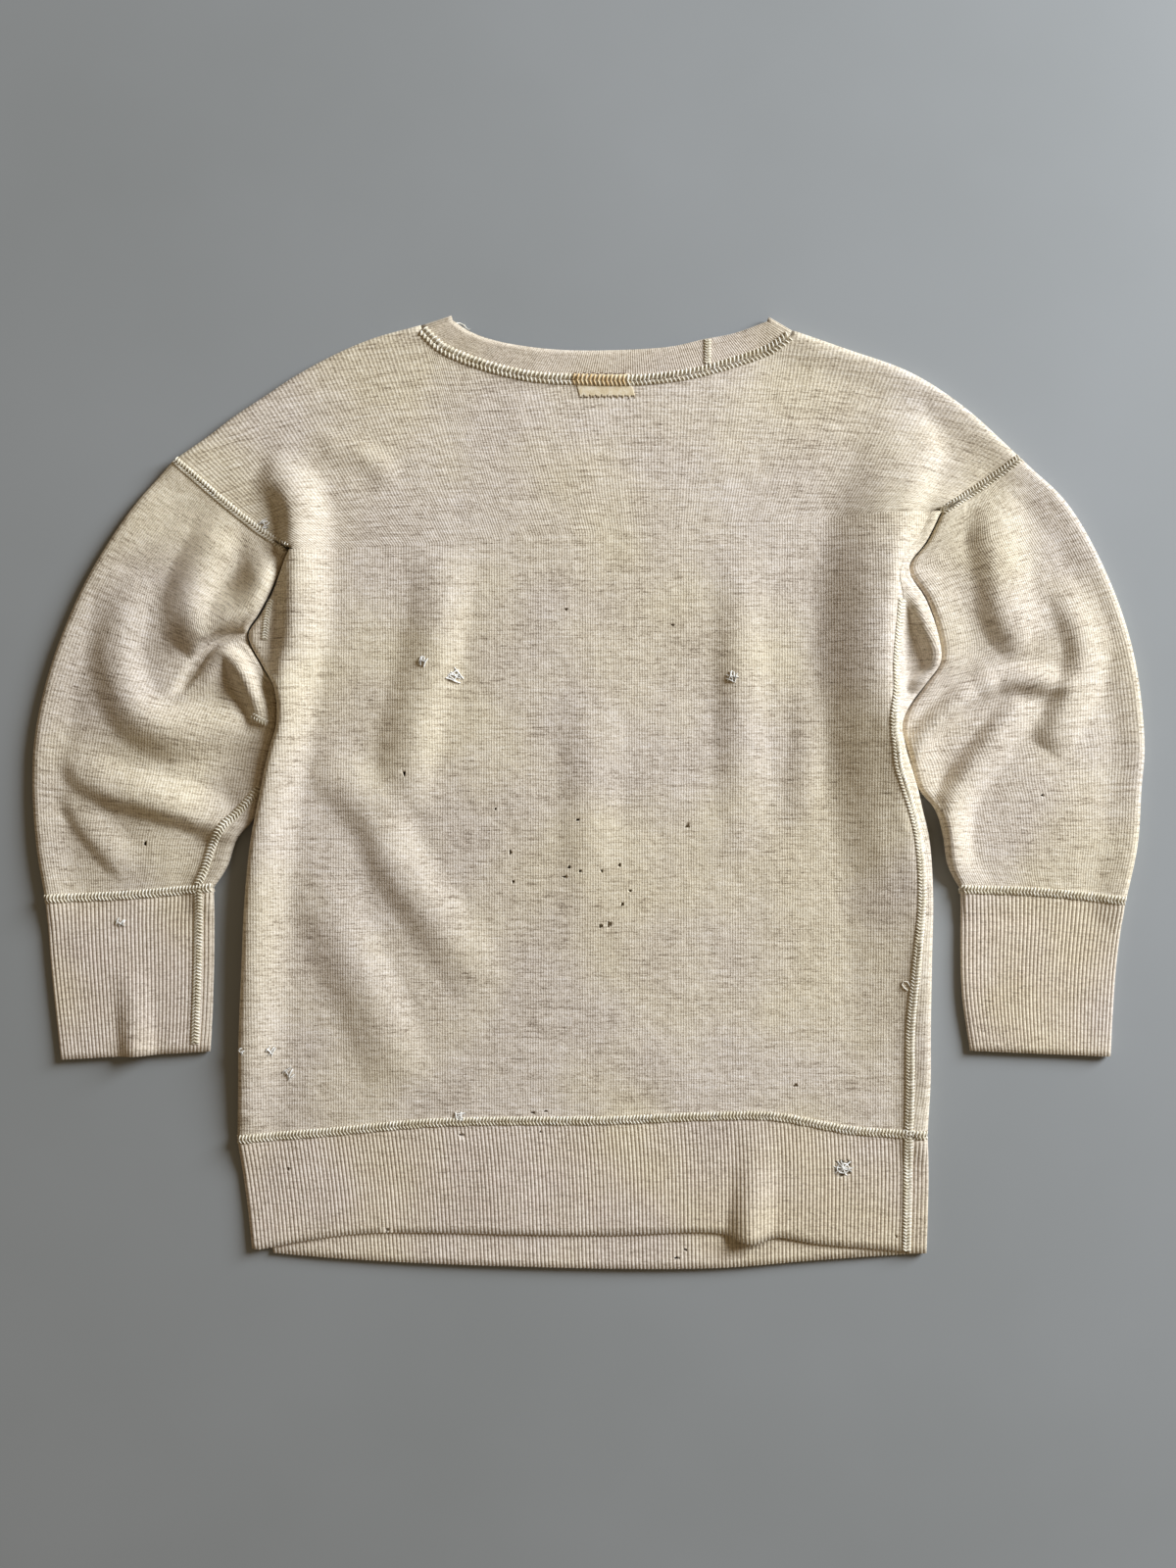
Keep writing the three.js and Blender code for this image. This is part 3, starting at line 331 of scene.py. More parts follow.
BODY_FOLDS = BODY_CREASES + [
    fold_edge([(s[0], s[1]) for s in BODY_SIDES]), fold_edge([(s[2], s[3]) for s in BODY_SIDES]),
    *map(fold_edge, SHOULDERS.values()),
]


def body_height(x, y):
    return LAID + np.maximum(lift(BODY_FOLDS, x, y) + waves(x, y), LOWEST_DIP)


print("height beside the left roll", round(float(body_height(np.array(-217.), np.array(154.))), 1))

# %% [markdown]
# ## From places to cloth
# Each stretch of cloth starts as a flat grid, which an operator makes, and its vertices are
# then put where the cloth lies. Stretches that share a border are merged. The piece's own UV
# map counts millimetres across the knitting's columns (wales) and along its rows (courses),
# so that every knit pattern follows the cloth round its folds.

# %% Grids of cloth
MERGE_DISTANCE = 0.02
CURL_STEPS = 8  # faces round a folded edge of the plain knitting
RIB_CURL_STEPS = 24  # a rib needs more, to stay round between its furrows


def in_frame(x, y, z):
    """A place of the drawing, in millimetres, as metres in the frame."""
    return (x + CENTRED[0]) * MM, (y + CENTRED[1]) * MM, z * MM


def new_cloth():
    bm = bmesh.new()
    bm.loops.layers.uv.new("knit")
    return bm


def add_stretch(bm, x, y, z, across, up):
    """Adds a grid of cloth: rows of places in mm, and of where they are in the knitting."""
    rows, columns = x.shape
    made = bmesh.ops.create_grid(bm, x_segments=columns - 1, y_segments=rows - 1, size=0.5)
    knit = bm.loops.layers.uv["knit"]
    for v in made["verts"]:
        i, j = round((v.co.x + 0.5) * (columns - 1)), round((v.co.y + 0.5) * (rows - 1))
        v.co = (x[j, i] * MM, y[j, i] * MM, z[j, i] * MM)
        for loop in v.link_loops:
            loop[knit].uv = (across[j, i], up[j, i])


def merge_stretches(bm):
    """Joins the stretches that share a border, and turns the cloth's outer side out."""
    bmesh.ops.remove_doubles(bm, verts=bm.verts, dist=MERGE_DISTANCE * MM)
    bmesh.ops.recalc_face_normals(bm, faces=bm.faces)
    middle = sum(v.co.z for v in bm.verts) / len(bm.verts)
    if sum(v.normal.z * (v.co.z - middle) for v in bm.verts) < 0:
        bmesh.ops.reverse_faces(bm, faces=bm.faces)
    bm.normal_update()


def curl_round(inset, edge, top, steps=CURL_STEPS, low=UNDER):
    """The half round of a folded edge, from above its inset line to below it."""
    angle = np.pi * np.arange(1, steps + 1) / steps
    middle = (top + low) / 2
    x = mix(inset[:, :1], edge[:, :1], np.sin(angle))
    y = mix(inset[:, 1:], edge[:, 1:], np.sin(angle))
    z = middle[:, None] + (top - middle)[:, None] * np.cos(angle)
    return x, y, z


def arc_across(x, y, z, start, sign):
    """Counts millimetres along rows of places, from a start value at the first column."""
    step = np.sqrt(np.diff(x, axis=1) ** 2 + np.diff(y, axis=1) ** 2 + np.diff(z, axis=1) ** 2)
    far = np.concatenate([np.zeros((len(x), 1)), np.cumsum(step, axis=1)], axis=1)
    return np.reshape(start, (-1, 1)) + sign * far


def fold_over(inset, edge, strip, steps=CURL_STEPS, low=UNDER, from_below=False):
    """Cloth that goes round a folded edge: from on top to a strip on the floor, or back up."""
    x, y, z = curl_round(inset, edge, body_height(inset[:, 0], inset[:, 1]), steps, low)
    if from_below:
        strip_z = body_height(strip[..., 0], strip[..., 1])
        return (np.hstack([x[:, ::-1], strip[..., 0]]), np.hstack([y[:, ::-1], strip[..., 1]]),
                np.hstack([z[:, ::-1], strip_z]))
    start_z = body_height(inset[:, :1], inset[:, 1:])
    return (np.hstack([inset[:, :1], x, strip[..., 0]]), np.hstack([inset[:, 1:], y, strip[..., 1]]),
            np.hstack([start_z, z, np.full(strip.shape[:2], UNDER)]))


def press_ribs(bm, pitch, depth, straight_down=False):
    """Presses the furrows of a rib into the cloth, or down where its inner side shows."""
    knit = bm.loops.layers.uv["knit"]
    moves = []
    for v in bm.verts:
        turn = 2 * math.pi * v.link_loops[0][knit].uv.x / pitch
        away = Vector((0, 0, 1)) if straight_down else v.normal
        moves.append(away * depth * MM * (math.cos(turn) - 1) / 2)
    for v, move in zip(bm.verts, moves):
        v.co += move


def link_object(name, bm, *materials):
    """Puts a bmesh into the scene as a smooth object of some materials."""
    mesh = bpy.data.meshes.new(name)
    bm.to_mesh(mesh)
    bm.free()
    mesh.polygons.foreach_set("use_smooth", [True] * len(mesh.polygons))
    for material in materials:
        mesh.materials.append(material)
    made = bpy.data.objects.new(name, mesh)
    bpy.context.scene.collection.objects.link(made)
    print(name, len(mesh.polygons), "faces, from z", round(min(v.co.z for v in mesh.vertices) / MM, 2), "mm")
    return made


def finish_cloth(name, bm, material, flat, node, wall=WALL, rib=None):
    """Makes a piece of the cloth, gives it its wall and stands it for its CAD node."""
    cloth_area = sum(face.calc_area() for face in bm.faces)
    if rib:
        press_ribs(bm, *rib)
    bmesh.ops.translate(bm, verts=bm.verts, vec=in_frame(0, 0, 0))
    piece = link_object(name, bm, material)
    solid = piece.modifiers.new("wall", "SOLIDIFY")
    solid.thickness = wall * MM
    solid.offset = 0
    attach(piece, "root")
    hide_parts(node)
    print("   cut from", *flat, "mm,", round(cloth_area, 4), "m2 of cloth")


# %% Holes
HOLE_SURROUND = 5  # how far round a hole the cloth is divided finely
HOLE_CUTS = ((2.2, 3), (0.9, 1))  # edges longer than this are cut so many times


def punch_hole(bm, x, y, radius, upper=True):
    """Eats a small hole: divides the cloth finely there, takes out its middle, rounds its rim."""
    # No two holes are alike, so each gets its own height and raggedness from where it is.
    tall = 1 + 0.35 * math.sin(7 * x + 3 * y)

    def reach(place):
        return math.hypot((place.x / MM - x) * tall, (place.y / MM - y) / tall)

    def on_layer(place):
        return (place.z > LAID * MM * 0.7) == upper

    surround = radius + HOLE_SURROUND
    for coarse, cuts in HOLE_CUTS:
        close = [v for v in bm.verts if on_layer(v.co) and reach(v.co) < surround]
        edges = {e for v in close for e in v.link_edges
                 if e.calc_length() > coarse * MM and reach(e.other_vert(v).co) < surround}
        bmesh.ops.subdivide_edges(bm, edges=list(edges), cuts=cuts, use_grid_fill=True)
    middles = [(f, f.calc_center_median()) for f in bm.faces]
    eaten = [f for f, middle in middles if reach(middle) < radius and on_layer(middle)]
    bmesh.ops.delete(bm, geom=eaten, context="FACES")
    for v in bm.verts:
        if reach(v.co) < radius + 1 and v.is_boundary and on_layer(v.co):
            dx, dy = (v.co.x / MM - x) * tall, (v.co.y / MM - y) / tall
            ragged = radius * (1 + 0.25 * math.sin(3 * math.atan2(dy, dx) + x + y)) / math.hypot(dx, dy)
            v.co.x = (x + dx * ragged / tall) * MM
            v.co.y = (y + dy * ragged * tall) * MM


# %% [markdown]
# ## Heather wool
# The yarn is carded from cream and grey-brown fleece, so every stretch of it differs a little:
# along the courses it shows as fine dark dashes and long faint streaks. An image texture
# could hold that, but noise stretched along the courses makes it at any size. Wales are
# 1.95 mm apart, fine enough for bump. Most of it reads the piece's knit map in millimetres; its broad
# patches are sized in millimetres of the piece's own space.

# %% Colours and nodes
def srgb(code):
    """A colour written as sRGB hex, turned to the linear values that shaders use."""
    parts = [int(code[k:k + 2], 16) / 255 for k in (1, 3, 5)]
    return (*[c / 12.92 if c <= 0.04045 else ((c + 0.055) / 1.055) ** 2.4 for c in parts], 1.0)


def add_node(tree, kind, inputs=None, **settings):
    """Adds a node with its settings. Each input is linked to a socket or set to a value."""
    made = tree.nodes.new(kind)
    for key, value in settings.items():
        setattr(made, key, value)
    for key, value in (inputs or {}).items():
        if isinstance(value, bpy.types.NodeSocket):
            tree.links.new(value, made.inputs[key])
        else:
            made.inputs[key].default_value = value
    return made


def new_material(name, roughness):
    material = bpy.data.materials.new(name)
    material.use_nodes = True
    shader = material.node_tree.nodes["Principled BSDF"]
    shader.inputs["Roughness"].default_value = roughness
    return material, material.node_tree, shader


def colour_ramp(tree, tone, tones):
    ramp = add_node(tree, "ShaderNodeValToRGB", {"Fac": tone})
    for _ in range(len(tones) - 2):
        ramp.color_ramp.elements.new(0.5)
    for stop, (where, colour) in zip(ramp.color_ramp.elements, tones):
        stop.position = where
        stop.color = srgb(colour)
    return ramp.outputs["Color"]


# %% Knitted wool
STITCH_HEIGHT = 1.4
# From the dark fleece in the yarn to the cream one. The ribs are a shade deeper.
FLEECE = [(0.1, "#897d6f"), (0.33, "#c7beae"), (0.5, "#e1dacb"), (0.68, "#ebe6db"), (0.88, "#f6f3ec")]
RIB_FLEECE = [(0.1, "#8f8476"), (0.33, "#c8bfb0"), (0.5, "#ded6c9"), (0.68, "#e9e3d8"), (0.88, "#f3efe7")]


def knitted_wool(name, pitch, tones, furrow_shade, furrow_shade_share, sharp, relief, dash):
    """Wool knitting: tones run from its dark fleece to its light one, and the furrow colour is painted shade
    between the wales.
    """
    material, tree, shader = new_material(name, 0.95)
    # Short fibres stand off the yarn and catch light at a slant, which softens every fold.
    shader.inputs["Specular IOR Level"].default_value = 0.15
    shader.inputs["Sheen Weight"].default_value = 0.2
    shader.inputs["Sheen Roughness"].default_value = 0.5
    shader.inputs["Sheen Tint"].default_value = srgb("#fff8ea")
    knit = add_node(tree, "ShaderNodeUVMap", uv_map="knit").outputs["UV"]
    place = add_node(tree, "ShaderNodeTexCoord").outputs["Object"]

    def maths(operation, *values):
        return add_node(tree, "ShaderNodeMath", dict(enumerate(values)), operation=operation).outputs[0]

    def fleece(across, up, detail, roughness=0.6):
        """Noise whose patches are so many millimetres across and up the knitting."""
        scaled = add_node(tree, "ShaderNodeMapping", {"Vector": knit, "Scale": (1 / across, 1 / up, 1)})
        noise = {"Vector": scaled.outputs["Vector"], "Scale": 1.0, "Detail": detail, "Roughness": roughness}
        return add_node(tree, "ShaderNodeTexNoise", noise).outputs["Fac"]

    def patches(size):
        noise = {"Vector": place, "Scale": 1 / (size * MM), "Detail": 2.0}
        return add_node(tree, "ShaderNodeTexNoise", noise).outputs["Fac"]

    def weigh(parts, start):
        total = start
        for socket, weight in parts:
            total = maths("ADD", maths("MULTIPLY", maths("SUBTRACT", socket, 0.5), weight), total)
        return total

    parts = add_node(tree, "ShaderNodeSeparateXYZ", {"Vector": knit})
    across = weigh([(fleece(7, 22, 2.0), 1.2)], parts.outputs["X"]) if relief else parts.outputs["X"]
    wave = maths("COSINE", maths("MULTIPLY", across, 2 * math.pi / pitch))
    stitch = add_node(tree, "ShaderNodeCombineXYZ", {
        "X": maths("FLOOR", maths("DIVIDE", across, pitch)),
        "Y": maths("FLOOR", maths("DIVIDE", parts.outputs["Y"], STITCH_HEIGHT))})
    each = add_node(tree, "ShaderNodeTexWhiteNoise", {"Vector": stitch.outputs[0]}, noise_dimensions="2D")
    tone = weigh([(fleece(12, 0.9, 3.0, 0.65), dash), (fleece(60, 2.4, 2.0), dash * 0.6),
                  (fleece(0.9, 1.3, 1.0), 0.7), (each.outputs["Value"], 0.2), (patches(70), 0.3)], 0.5)
    colour = colour_ramp(tree, tone, tones)
    # Washed wool yellows in clouds a hand wide.
    clouds = add_node(tree, "ShaderNodeMapRange", {"Value": patches(130), "From Min": 0.4, "From Max": 0.62})
    tint = add_node(tree, "ShaderNodeMix", {0: clouds.outputs[0], 6: srgb("#fdf7f4"), 7: srgb("#fff8e8")},
                    data_type="RGBA").outputs[2]
    tinted = add_node(tree, "ShaderNodeMix", {0: 1.0, 6: colour, 7: tint},
                      data_type="RGBA", blend_type="MULTIPLY").outputs[2]
    # Painted shade: the deeper a place lies in a furrow between wales, the more its colour turns to the
    # furrow colour, in grainy patches.
    hollow = maths("POWER", maths("MULTIPLY", maths("SUBTRACT", 1.0, wave), 0.5), sharp)
    shade = maths("MULTIPLY", hollow, weigh([(fleece(2.5, 1.6, 1.0), 1.2)], furrow_shade_share))
    final = add_node(tree, "ShaderNodeMix", {0: shade, 6: tinted, 7: srgb(furrow_shade)}, data_type="RGBA")
    tree.links.new(final.outputs[2], shader.inputs["Base Color"])
    # Heights here are in millimetres: wales, fuzz and the faint pucker of worn cloth.
    height = weigh([(each.outputs["Value"], 0.12), (fleece(0.8, 0.8, 2.0), 0.3), (fleece(12, 12, 1.0), 0.9)],
                   maths("MULTIPLY", wave, relief))
    bump = add_node(tree, "ShaderNodeBump", {"Height": height, "Distance": MM, "Strength": 1.0})
    tree.links.new(bump.outputs["Normal"], shader.inputs["Normal"])
    return material


# Millimetres from one wale or rib to the next.
WALE = 1.95
HEM_RIB = 2.9
CUFF_RIB = 2.85
NECK_RIB = 1.7
# Plain jersey: a dry, matt, flecked cream with hardly a furrow to see, and a little painted shade darkening
# its furrows.
wool = knitted_wool("heather_wool_jersey", WALE, FLEECE, "#93867a", 0.26, 2.0, 0.08, 1.25)
# Rib knitting: its furrows are real, and the dark of their depths is painted shade added to the colour here.
hem_wool = knitted_wool("heather_wool_hem_rib", HEM_RIB, RIB_FLEECE, "#665644", 0.98, 2.2, 0.0, 0.6)
cuff_wool = knitted_wool("heather_wool_cuff_rib", CUFF_RIB, RIB_FLEECE, "#665644", 0.98, 2.2, 0.0, 0.6)
neck_wool = knitted_wool("heather_wool_neck_rib", NECK_RIB, RIB_FLEECE, "#75654f", 0.85, 2.0, 0.0, 0.5)


# %% Cotton thread, darning yarn and tape
def spun(name, tones, patch, grain, roughness=0.85):
    """Thread or tape: tones in patches, and a fine grain of fibres, both in millimetres."""
    material, tree, shader = new_material(name, roughness)
    shader.inputs["Specular IOR Level"].default_value = 0.25
    place = add_node(tree, "ShaderNodeTexCoord").outputs["Object"]
    slow = add_node(tree, "ShaderNodeTexNoise", {"Vector": place, "Scale": 1 / (patch * MM), "Detail": 3.0})
    tree.links.new(colour_ramp(tree, slow.outputs["Fac"], tones), shader.inputs["Base Color"])
    fine = add_node(tree, "ShaderNodeTexNoise", {"Vector": place, "Scale": 1 / (grain * MM)})
    bump = add_node(tree, "ShaderNodeBump", {"Height": fine.outputs["Fac"], "Distance": 0.2 * MM})
    tree.links.new(bump.outputs["Normal"], shader.inputs["Normal"])
    return material


THREAD_TONES = [(0.35, "#e3dac2"), (0.5, "#f1ead8"), (0.65, "#faf6ea")]
EDGE_TONES = [(0.35, "#b3a78f"), (0.5, "#cdc3ad"), (0.65, "#dfd6c3")]
# Mercerised cotton has a faint gloss, so the stitches stand out pale against the matt wool.
cotton_thread = spun("mercerised_cotton_thread", THREAD_TONES, 9, 0.4)
# The raw edge inside the overlocking is matted wool, a shade darker than its thread.
wrapped_edge = spun("overlocked_wool_edge", EDGE_TONES, 4, 0.6, 0.95)
# A pin or a damp label has stained this thread the colour of tea.
rust_thread = spun("rust_stained_thread", [(0.35, "#d8b680"), (0.5, "#e7cda0"), (0.65, "#f1e1be")], 6, 0.4)
# Plain sewing cotton, dull and dark, which held the label.
brown_thread = spun("brown_cotton_thread", [(0.4, "#4f3526"), (0.6, "#7a5740")], 3, 0.4)
# Darning yarn is two plies, an off-white and a grey, so that it looks speckled.
darning_yarn = spun("darning_yarn", [(0.35, "#a8a49d"), (0.48, "#e6e3db"), (0.6, "#fbfaf5")], 3, 0.5)
# Woven cotton tape, flat and smooth, which has yellowed.
label_tape = spun("faded_cotton_tape", [(0.35, "#d5c3a0"), (0.5, "#e2d2b2"), (0.65, "#ebdfc6")], 5, 0.7)

# %% [markdown]
# ## The body
# The back and the front are cut alike and meet at the shoulders and down the right side. Each
# is woven here from rows across the body: straight ones below the armpits, and above them rows
# that lean on the armholes and the shoulders. At the left edge the back's cloth goes on round
# the fold and under, as the real one does, because its seam lies underneath.

# %% Rows and columns of the body
SHOULDER_COLUMNS, NECK_COLUMNS = 36, 72
YOKE_ROWS = 30
SEAM_BOW_REACH = 110  # how far up from the hem seam the rows still bend with it
station_gaps = np.linalg.norm(np.diff(np.array([(s[0], s[1]) for s in BODY_SIDES]), axis=0), axis=1)
divisors = [n for n in range(1, DENSE + 1) if DENSE % n == 0]
steps = [min(divisors, key=lambda n: abs(gap / n - BODY_STEP)) for gap in station_gaps]
picks = [k * DENSE + m * (DENSE // n) for k, n in enumerate(steps) for m in range(n)] + [
    (len(BODY_SIDES) - 1) * DENSE]
left_side = (left_edge - sideways(left_edge) * TOUCH_INSET)[picks]
right_side = (right_edge + sideways(right_edge) * TOUCH_INSET)[picks]
seam_in = np.interp(picks, np.arange(len(BODY_SIDES)) * DENSE, [s[4] for s in BODY_SIDES]) - TOUCH_INSET
left_curl = towards(left_side, right_side, CURL)
right_curl = towards(right_side, left_side, CURL)
side_seam = towards(right_side, left_side, seam_in)
NECK_FIRST, NECK_LAST = SHOULDER_COLUMNS, SHOULDER_COLUMNS + NECK_COLUMNS
top_left, top_right = ARMHOLES["left"][-1][0], ARMHOLES["right"][-1][0]
neck_from = (NECK_SEAM_BACK[0][0] - top_left) / (top_right - top_left)
neck_to = (NECK_SEAM_BACK[-1][0] - top_left) / (top_right - top_left)
columns = np.concatenate([
    np.linspace(0, neck_from, SHOULDER_COLUMNS, endpoint=False),
    np.linspace(neck_from, neck_to, NECK_COLUMNS, endpoint=False),
    np.linspace(neck_to, 1, SHOULDER_COLUMNS + 1),
])
print("body rows", len(picks), "columns", len(columns))

# %% The shoulders and the top line
shoulder_lines = {side: smooth(points) for side, points in SHOULDERS.items()}
armholes = {
    "left": smooth(ARMHOLES["left"]) - sideways(smooth(ARMHOLES["left"])) * SEAM_GAP / 2,
    "right": smooth(ARMHOLES["right"]) + sideways(smooth(ARMHOLES["right"])) * SEAM_GAP / 2,
}


def shoulder_at(side, depth):
    """A shoulder's columns at a depth in from its outline. Its end runs along the armhole."""
    line = along(shoulder_lines[side], np.linspace(0, 1, SHOULDER_COLUMNS + 1))
    out = sideways(line)
    end = 0 if side == "left" else -1
    armhole = armholes[side]
    out[end] = (armhole[-1] - armhole[-DENSE]) / np.linalg.norm(armhole[-1] - armhole[-DENSE])
    return line - out * depth


def top_line(neck, depth):
    """The body's top line: shoulders at a depth from their outline, the neck seam between."""
    seam = smooth(neck)
    seam = along(seam - sideways(seam) * SEAM_GAP / 2, np.linspace(0, 1, NECK_COLUMNS + 1))
    return np.vstack([shoulder_at("left", depth), seam[1:-1], shoulder_at("right", depth)])


def yoke(first, last, rows):
    """Rows from the top of the side seams to a top line, between the armholes."""
    t = np.linspace(0, 1, rows + 1)[1:]
    left = along(np.vstack([first[:1], armholes["left"][DENSE:-DENSE], last[:1]]), t)
    right = along(np.vstack([first[-1:], armholes["right"][DENSE:-DENSE], last[-1:]]), t)
    u = columns[None, :, None]
    t = t[:, None, None]
    between = mix(left[:, None], right[:, None], u)
    corners = mix(mix(first[0], first[-1], u), mix(last[0], last[-1], u), t)
    return between + mix(first[None], last[None], t) - corners


def body_rows(left, right, hem):
    """Rows from the hem seam up to the top of the side seams. The lowest follow the seam."""
    rows = mix(left[:, None], right[:, None], columns[None, :, None])
    bow = np.interp(rows[0, :, 0], hem[:, 0], hem[:, 1]) - rows[0, :, 1]
    fade = np.clip(1 - lengths(left) / SEAM_BOW_REACH, 0, 1)
    rows[..., 1] += fade[:, None] * bow[None]
    return rows


lower = body_rows(left_curl, towards(side_seam, left_side, SEAM_GAP / 2), smooth(HEM_SEAM_BACK))
top = top_line(NECK_SEAM_BACK, WALL / 2 + CURL)
upper = yoke(lower[-1], top, YOKE_ROWS)
print("yoke rows", YOKE_ROWS)

# %% Moth holes in the back, as x, y and radius
BACK_HOLES = [
    (-58.8, -46.6, 1.3), (-56.6, -68.8, 1.1), (-7.8, -22.2, 1.1), (74.4, -27.4, 1.3),
    (-14.4, -57.7, 1.2), (-6.3, -60.7, 1.0), (-18.1, -65.1, 1.1), (23.3, -56.2, 1.2),
    (10, -60.7, 1.0), (25.5, -85.8, 1.3), (31.4, -75.5, 1.1), (9.2, -102.1, 1.5),
    (16.6, -100.6, 1.2), (-16.6, 136.2, 1.1), (63.3, 124.3, 1.0), (-138, 12.6, 1.3),
    (-69.9, -14.1, 0.9), (155.8, -222, 1.5), (-41.8, -242.5, 1.3), (-32.2, -241.5, 1.1),
]
print("moth holes in the back:", len(BACK_HOLES))

# %% The back
def knit_places(rows, lower_count):
    """Where the body's places are in its knitting: wales stand up from the hem and fan out."""
    across = rows[..., 0].copy()
    across[lower_count:] = rows[lower_count - 1, :, 0]
    up = rows[..., 1].copy()
    step = np.linalg.norm(np.diff(rows[lower_count - 1:], axis=0), axis=2)
    up[lower_count:] = up[lower_count - 1] + np.cumsum(step, axis=0)
    return across, up


def add_side(bm, places, start, up, sign):
    """Adds cloth that goes round a side, with where its rows start and lie in the knitting."""
    across = arc_across(*places, start, sign)
    add_stretch(bm, *places, across, np.repeat(up[:, None], across.shape[1], 1))


back = new_cloth()
rows = np.concatenate([lower, upper])
across, up = knit_places(rows, len(lower))
add_stretch(back, rows[..., 0], rows[..., 1], body_height(rows[..., 0], rows[..., 1]), across, up)
inset = lower[:, 0]
reach = np.linspace(CURL, WRAP - SEAM_GAP / 2, 5)[1:]
strip = np.stack([towards(left_side, right_side, r) for r in reach], 1)
add_side(back, fold_over(inset, left_side, strip), inset[:, 0], inset[:, 1], -1)
for side, span in (("left", slice(0, NECK_FIRST + 1)), ("right", slice(NECK_LAST, None))):
    under = shoulder_at(side, WALL / 2 + SHOULDER_WRAP)
    places = fold_over(top[span], shoulder_at(side, WALL / 2), under[:, None])
    far = arc_across(*places, up[-1, span], 1)
    add_stretch(back, *places, np.repeat(across[-1, span][:, None], far.shape[1], 1), far)
merge_stretches(back)
for hole in BACK_HOLES:
    punch_hole(back, *hole)
finish_cloth("back", back, wool, (650, 625), "back_panel")

# %% The front
FRONT_PICK = 3  # it lies flat and hidden, so every third column is enough
front = new_cloth()
left_under = towards(left_side, right_side, WRAP + SEAM_GAP / 2)
front_lower = body_rows(left_under, right_curl, smooth(HEM_SEAM_FRONT))
front_top = top_line(NECK_SEAM_FRONT, WALL / 2 + SHOULDER_WRAP + SEAM_GAP)
rows = np.concatenate([front_lower, yoke(front_lower[-1], front_top, YOKE_ROWS)])
across, up = knit_places(rows, len(front_lower))
keep = sorted({*range(0, len(columns), FRONT_PICK), NECK_FIRST, NECK_LAST, len(columns) - 1})
floor_z = np.full(rows[:, keep, 0].shape, UNDER)
add_stretch(front, rows[:, keep, 0], rows[:, keep, 1], floor_z, across[:, keep], up[:, keep])
inset = front_lower[:, -1]
seam_end = towards(side_seam, right_side, SEAM_GAP / 2)
strip = mix(inset[:, None], seam_end[:, None], np.linspace(0, 1, 9)[None, :, None])
places = fold_over(inset, right_side, strip, from_below=True)
add_side(front, places, inset[:, 0], inset[:, 1], 1)
merge_stretches(front)
finish_cloth("front", front, wool, (640, 620), "front_panel")

# %% [markdown]
# ## Sleeves and cuffs
# A sleeve is a tube pressed flat: one run of cloth over the top, round the inner fold, back
# along the floor and round the outer fold. It could be two layers, but a closed tube keeps its
# thickness at the folds. The cuff is a narrower tube with real ribs, since its furrows are deep
# enough to cast shadows.

# %% Tubes of cloth
def flat_tube(bm, outer, inner, height_at, count, pitch=WALE, first_row=None, curl_steps=CURL_STEPS):
    """A flattened tube: over the top from its outer fold to its inner one, and back below."""
    share = np.linspace(0, 1, count + 1)
    upper_rows = mix(towards(outer, inner, CURL)[:, None], towards(inner, outer, CURL)[:, None],
                     share[None, :, None])
    if first_row is not None:
        upper_rows[0] = along(first_row, share)
    height = height_at(upper_rows)
    xi, yi, zi = curl_round(upper_rows[:, -1], inner, height[:, -1], curl_steps)
    below = upper_rows[:, 1:-1][:, ::-1]
    xo, yo, zo = (p[:, ::-1] for p in curl_round(upper_rows[:, 0], outer, height[:, 0], curl_steps))
    x = np.hstack([upper_rows[..., 0], xi, below[..., 0], xo, upper_rows[:, :1, 0]])
    y = np.hstack([upper_rows[..., 1], yi, below[..., 1], yo, upper_rows[:, :1, 1]])
    z = np.hstack([height, zi, np.full(below.shape[:2], UNDER), zo, height[:, :1]])
    across = arc_across(x, y, z, np.zeros(len(x)), 1)
    ribs = round(across[:, -1].mean() / pitch)
    across *= (ribs * pitch / across[:, -1])[:, None]
    up = np.repeat(lengths((outer + inner) / 2)[:, None], x.shape[1], 1)
    add_stretch(bm, x, y, z, across, up)
    merge_stretches(bm)


SLEEVE_COLUMNS = 90
SEAM_BLEND = 40  # down to here a sleeve's heights pass from the body's to its own
CUFF_ROWS = 25
CUFF_COLUMNS = 260
CUFF_CURL_STEPS = 18
SLEEVE_HOLES = {"left": (-332.6, -40, 1.3), "right": (340.8, -3.7, 1.1)}
RIB_DEPTH = 0.9


def sleeve_lines(side):
    """The sleeve's outer and inner folds, with the same number of points."""
    turn = 1 if side == "left" else -1
    edge = 0 if side == "left" else 2
    touching = [(s[edge], s[edge + 1]) for s in BODY_SIDES[TOUCHING_FROM:]][::-1]
    inner = smooth(touching + SLEEVE_INNER[side])
    inner = inner - turn * sideways(inner) * TOUCH_INSET
    outer = smooth(SLEEVE_OUTER[side])
    outer = outer + turn * sideways(outer) * WALL / 2
    outer = along(outer, lengths(inner) / lengths(inner)[-1])
    return outer, inner, touching


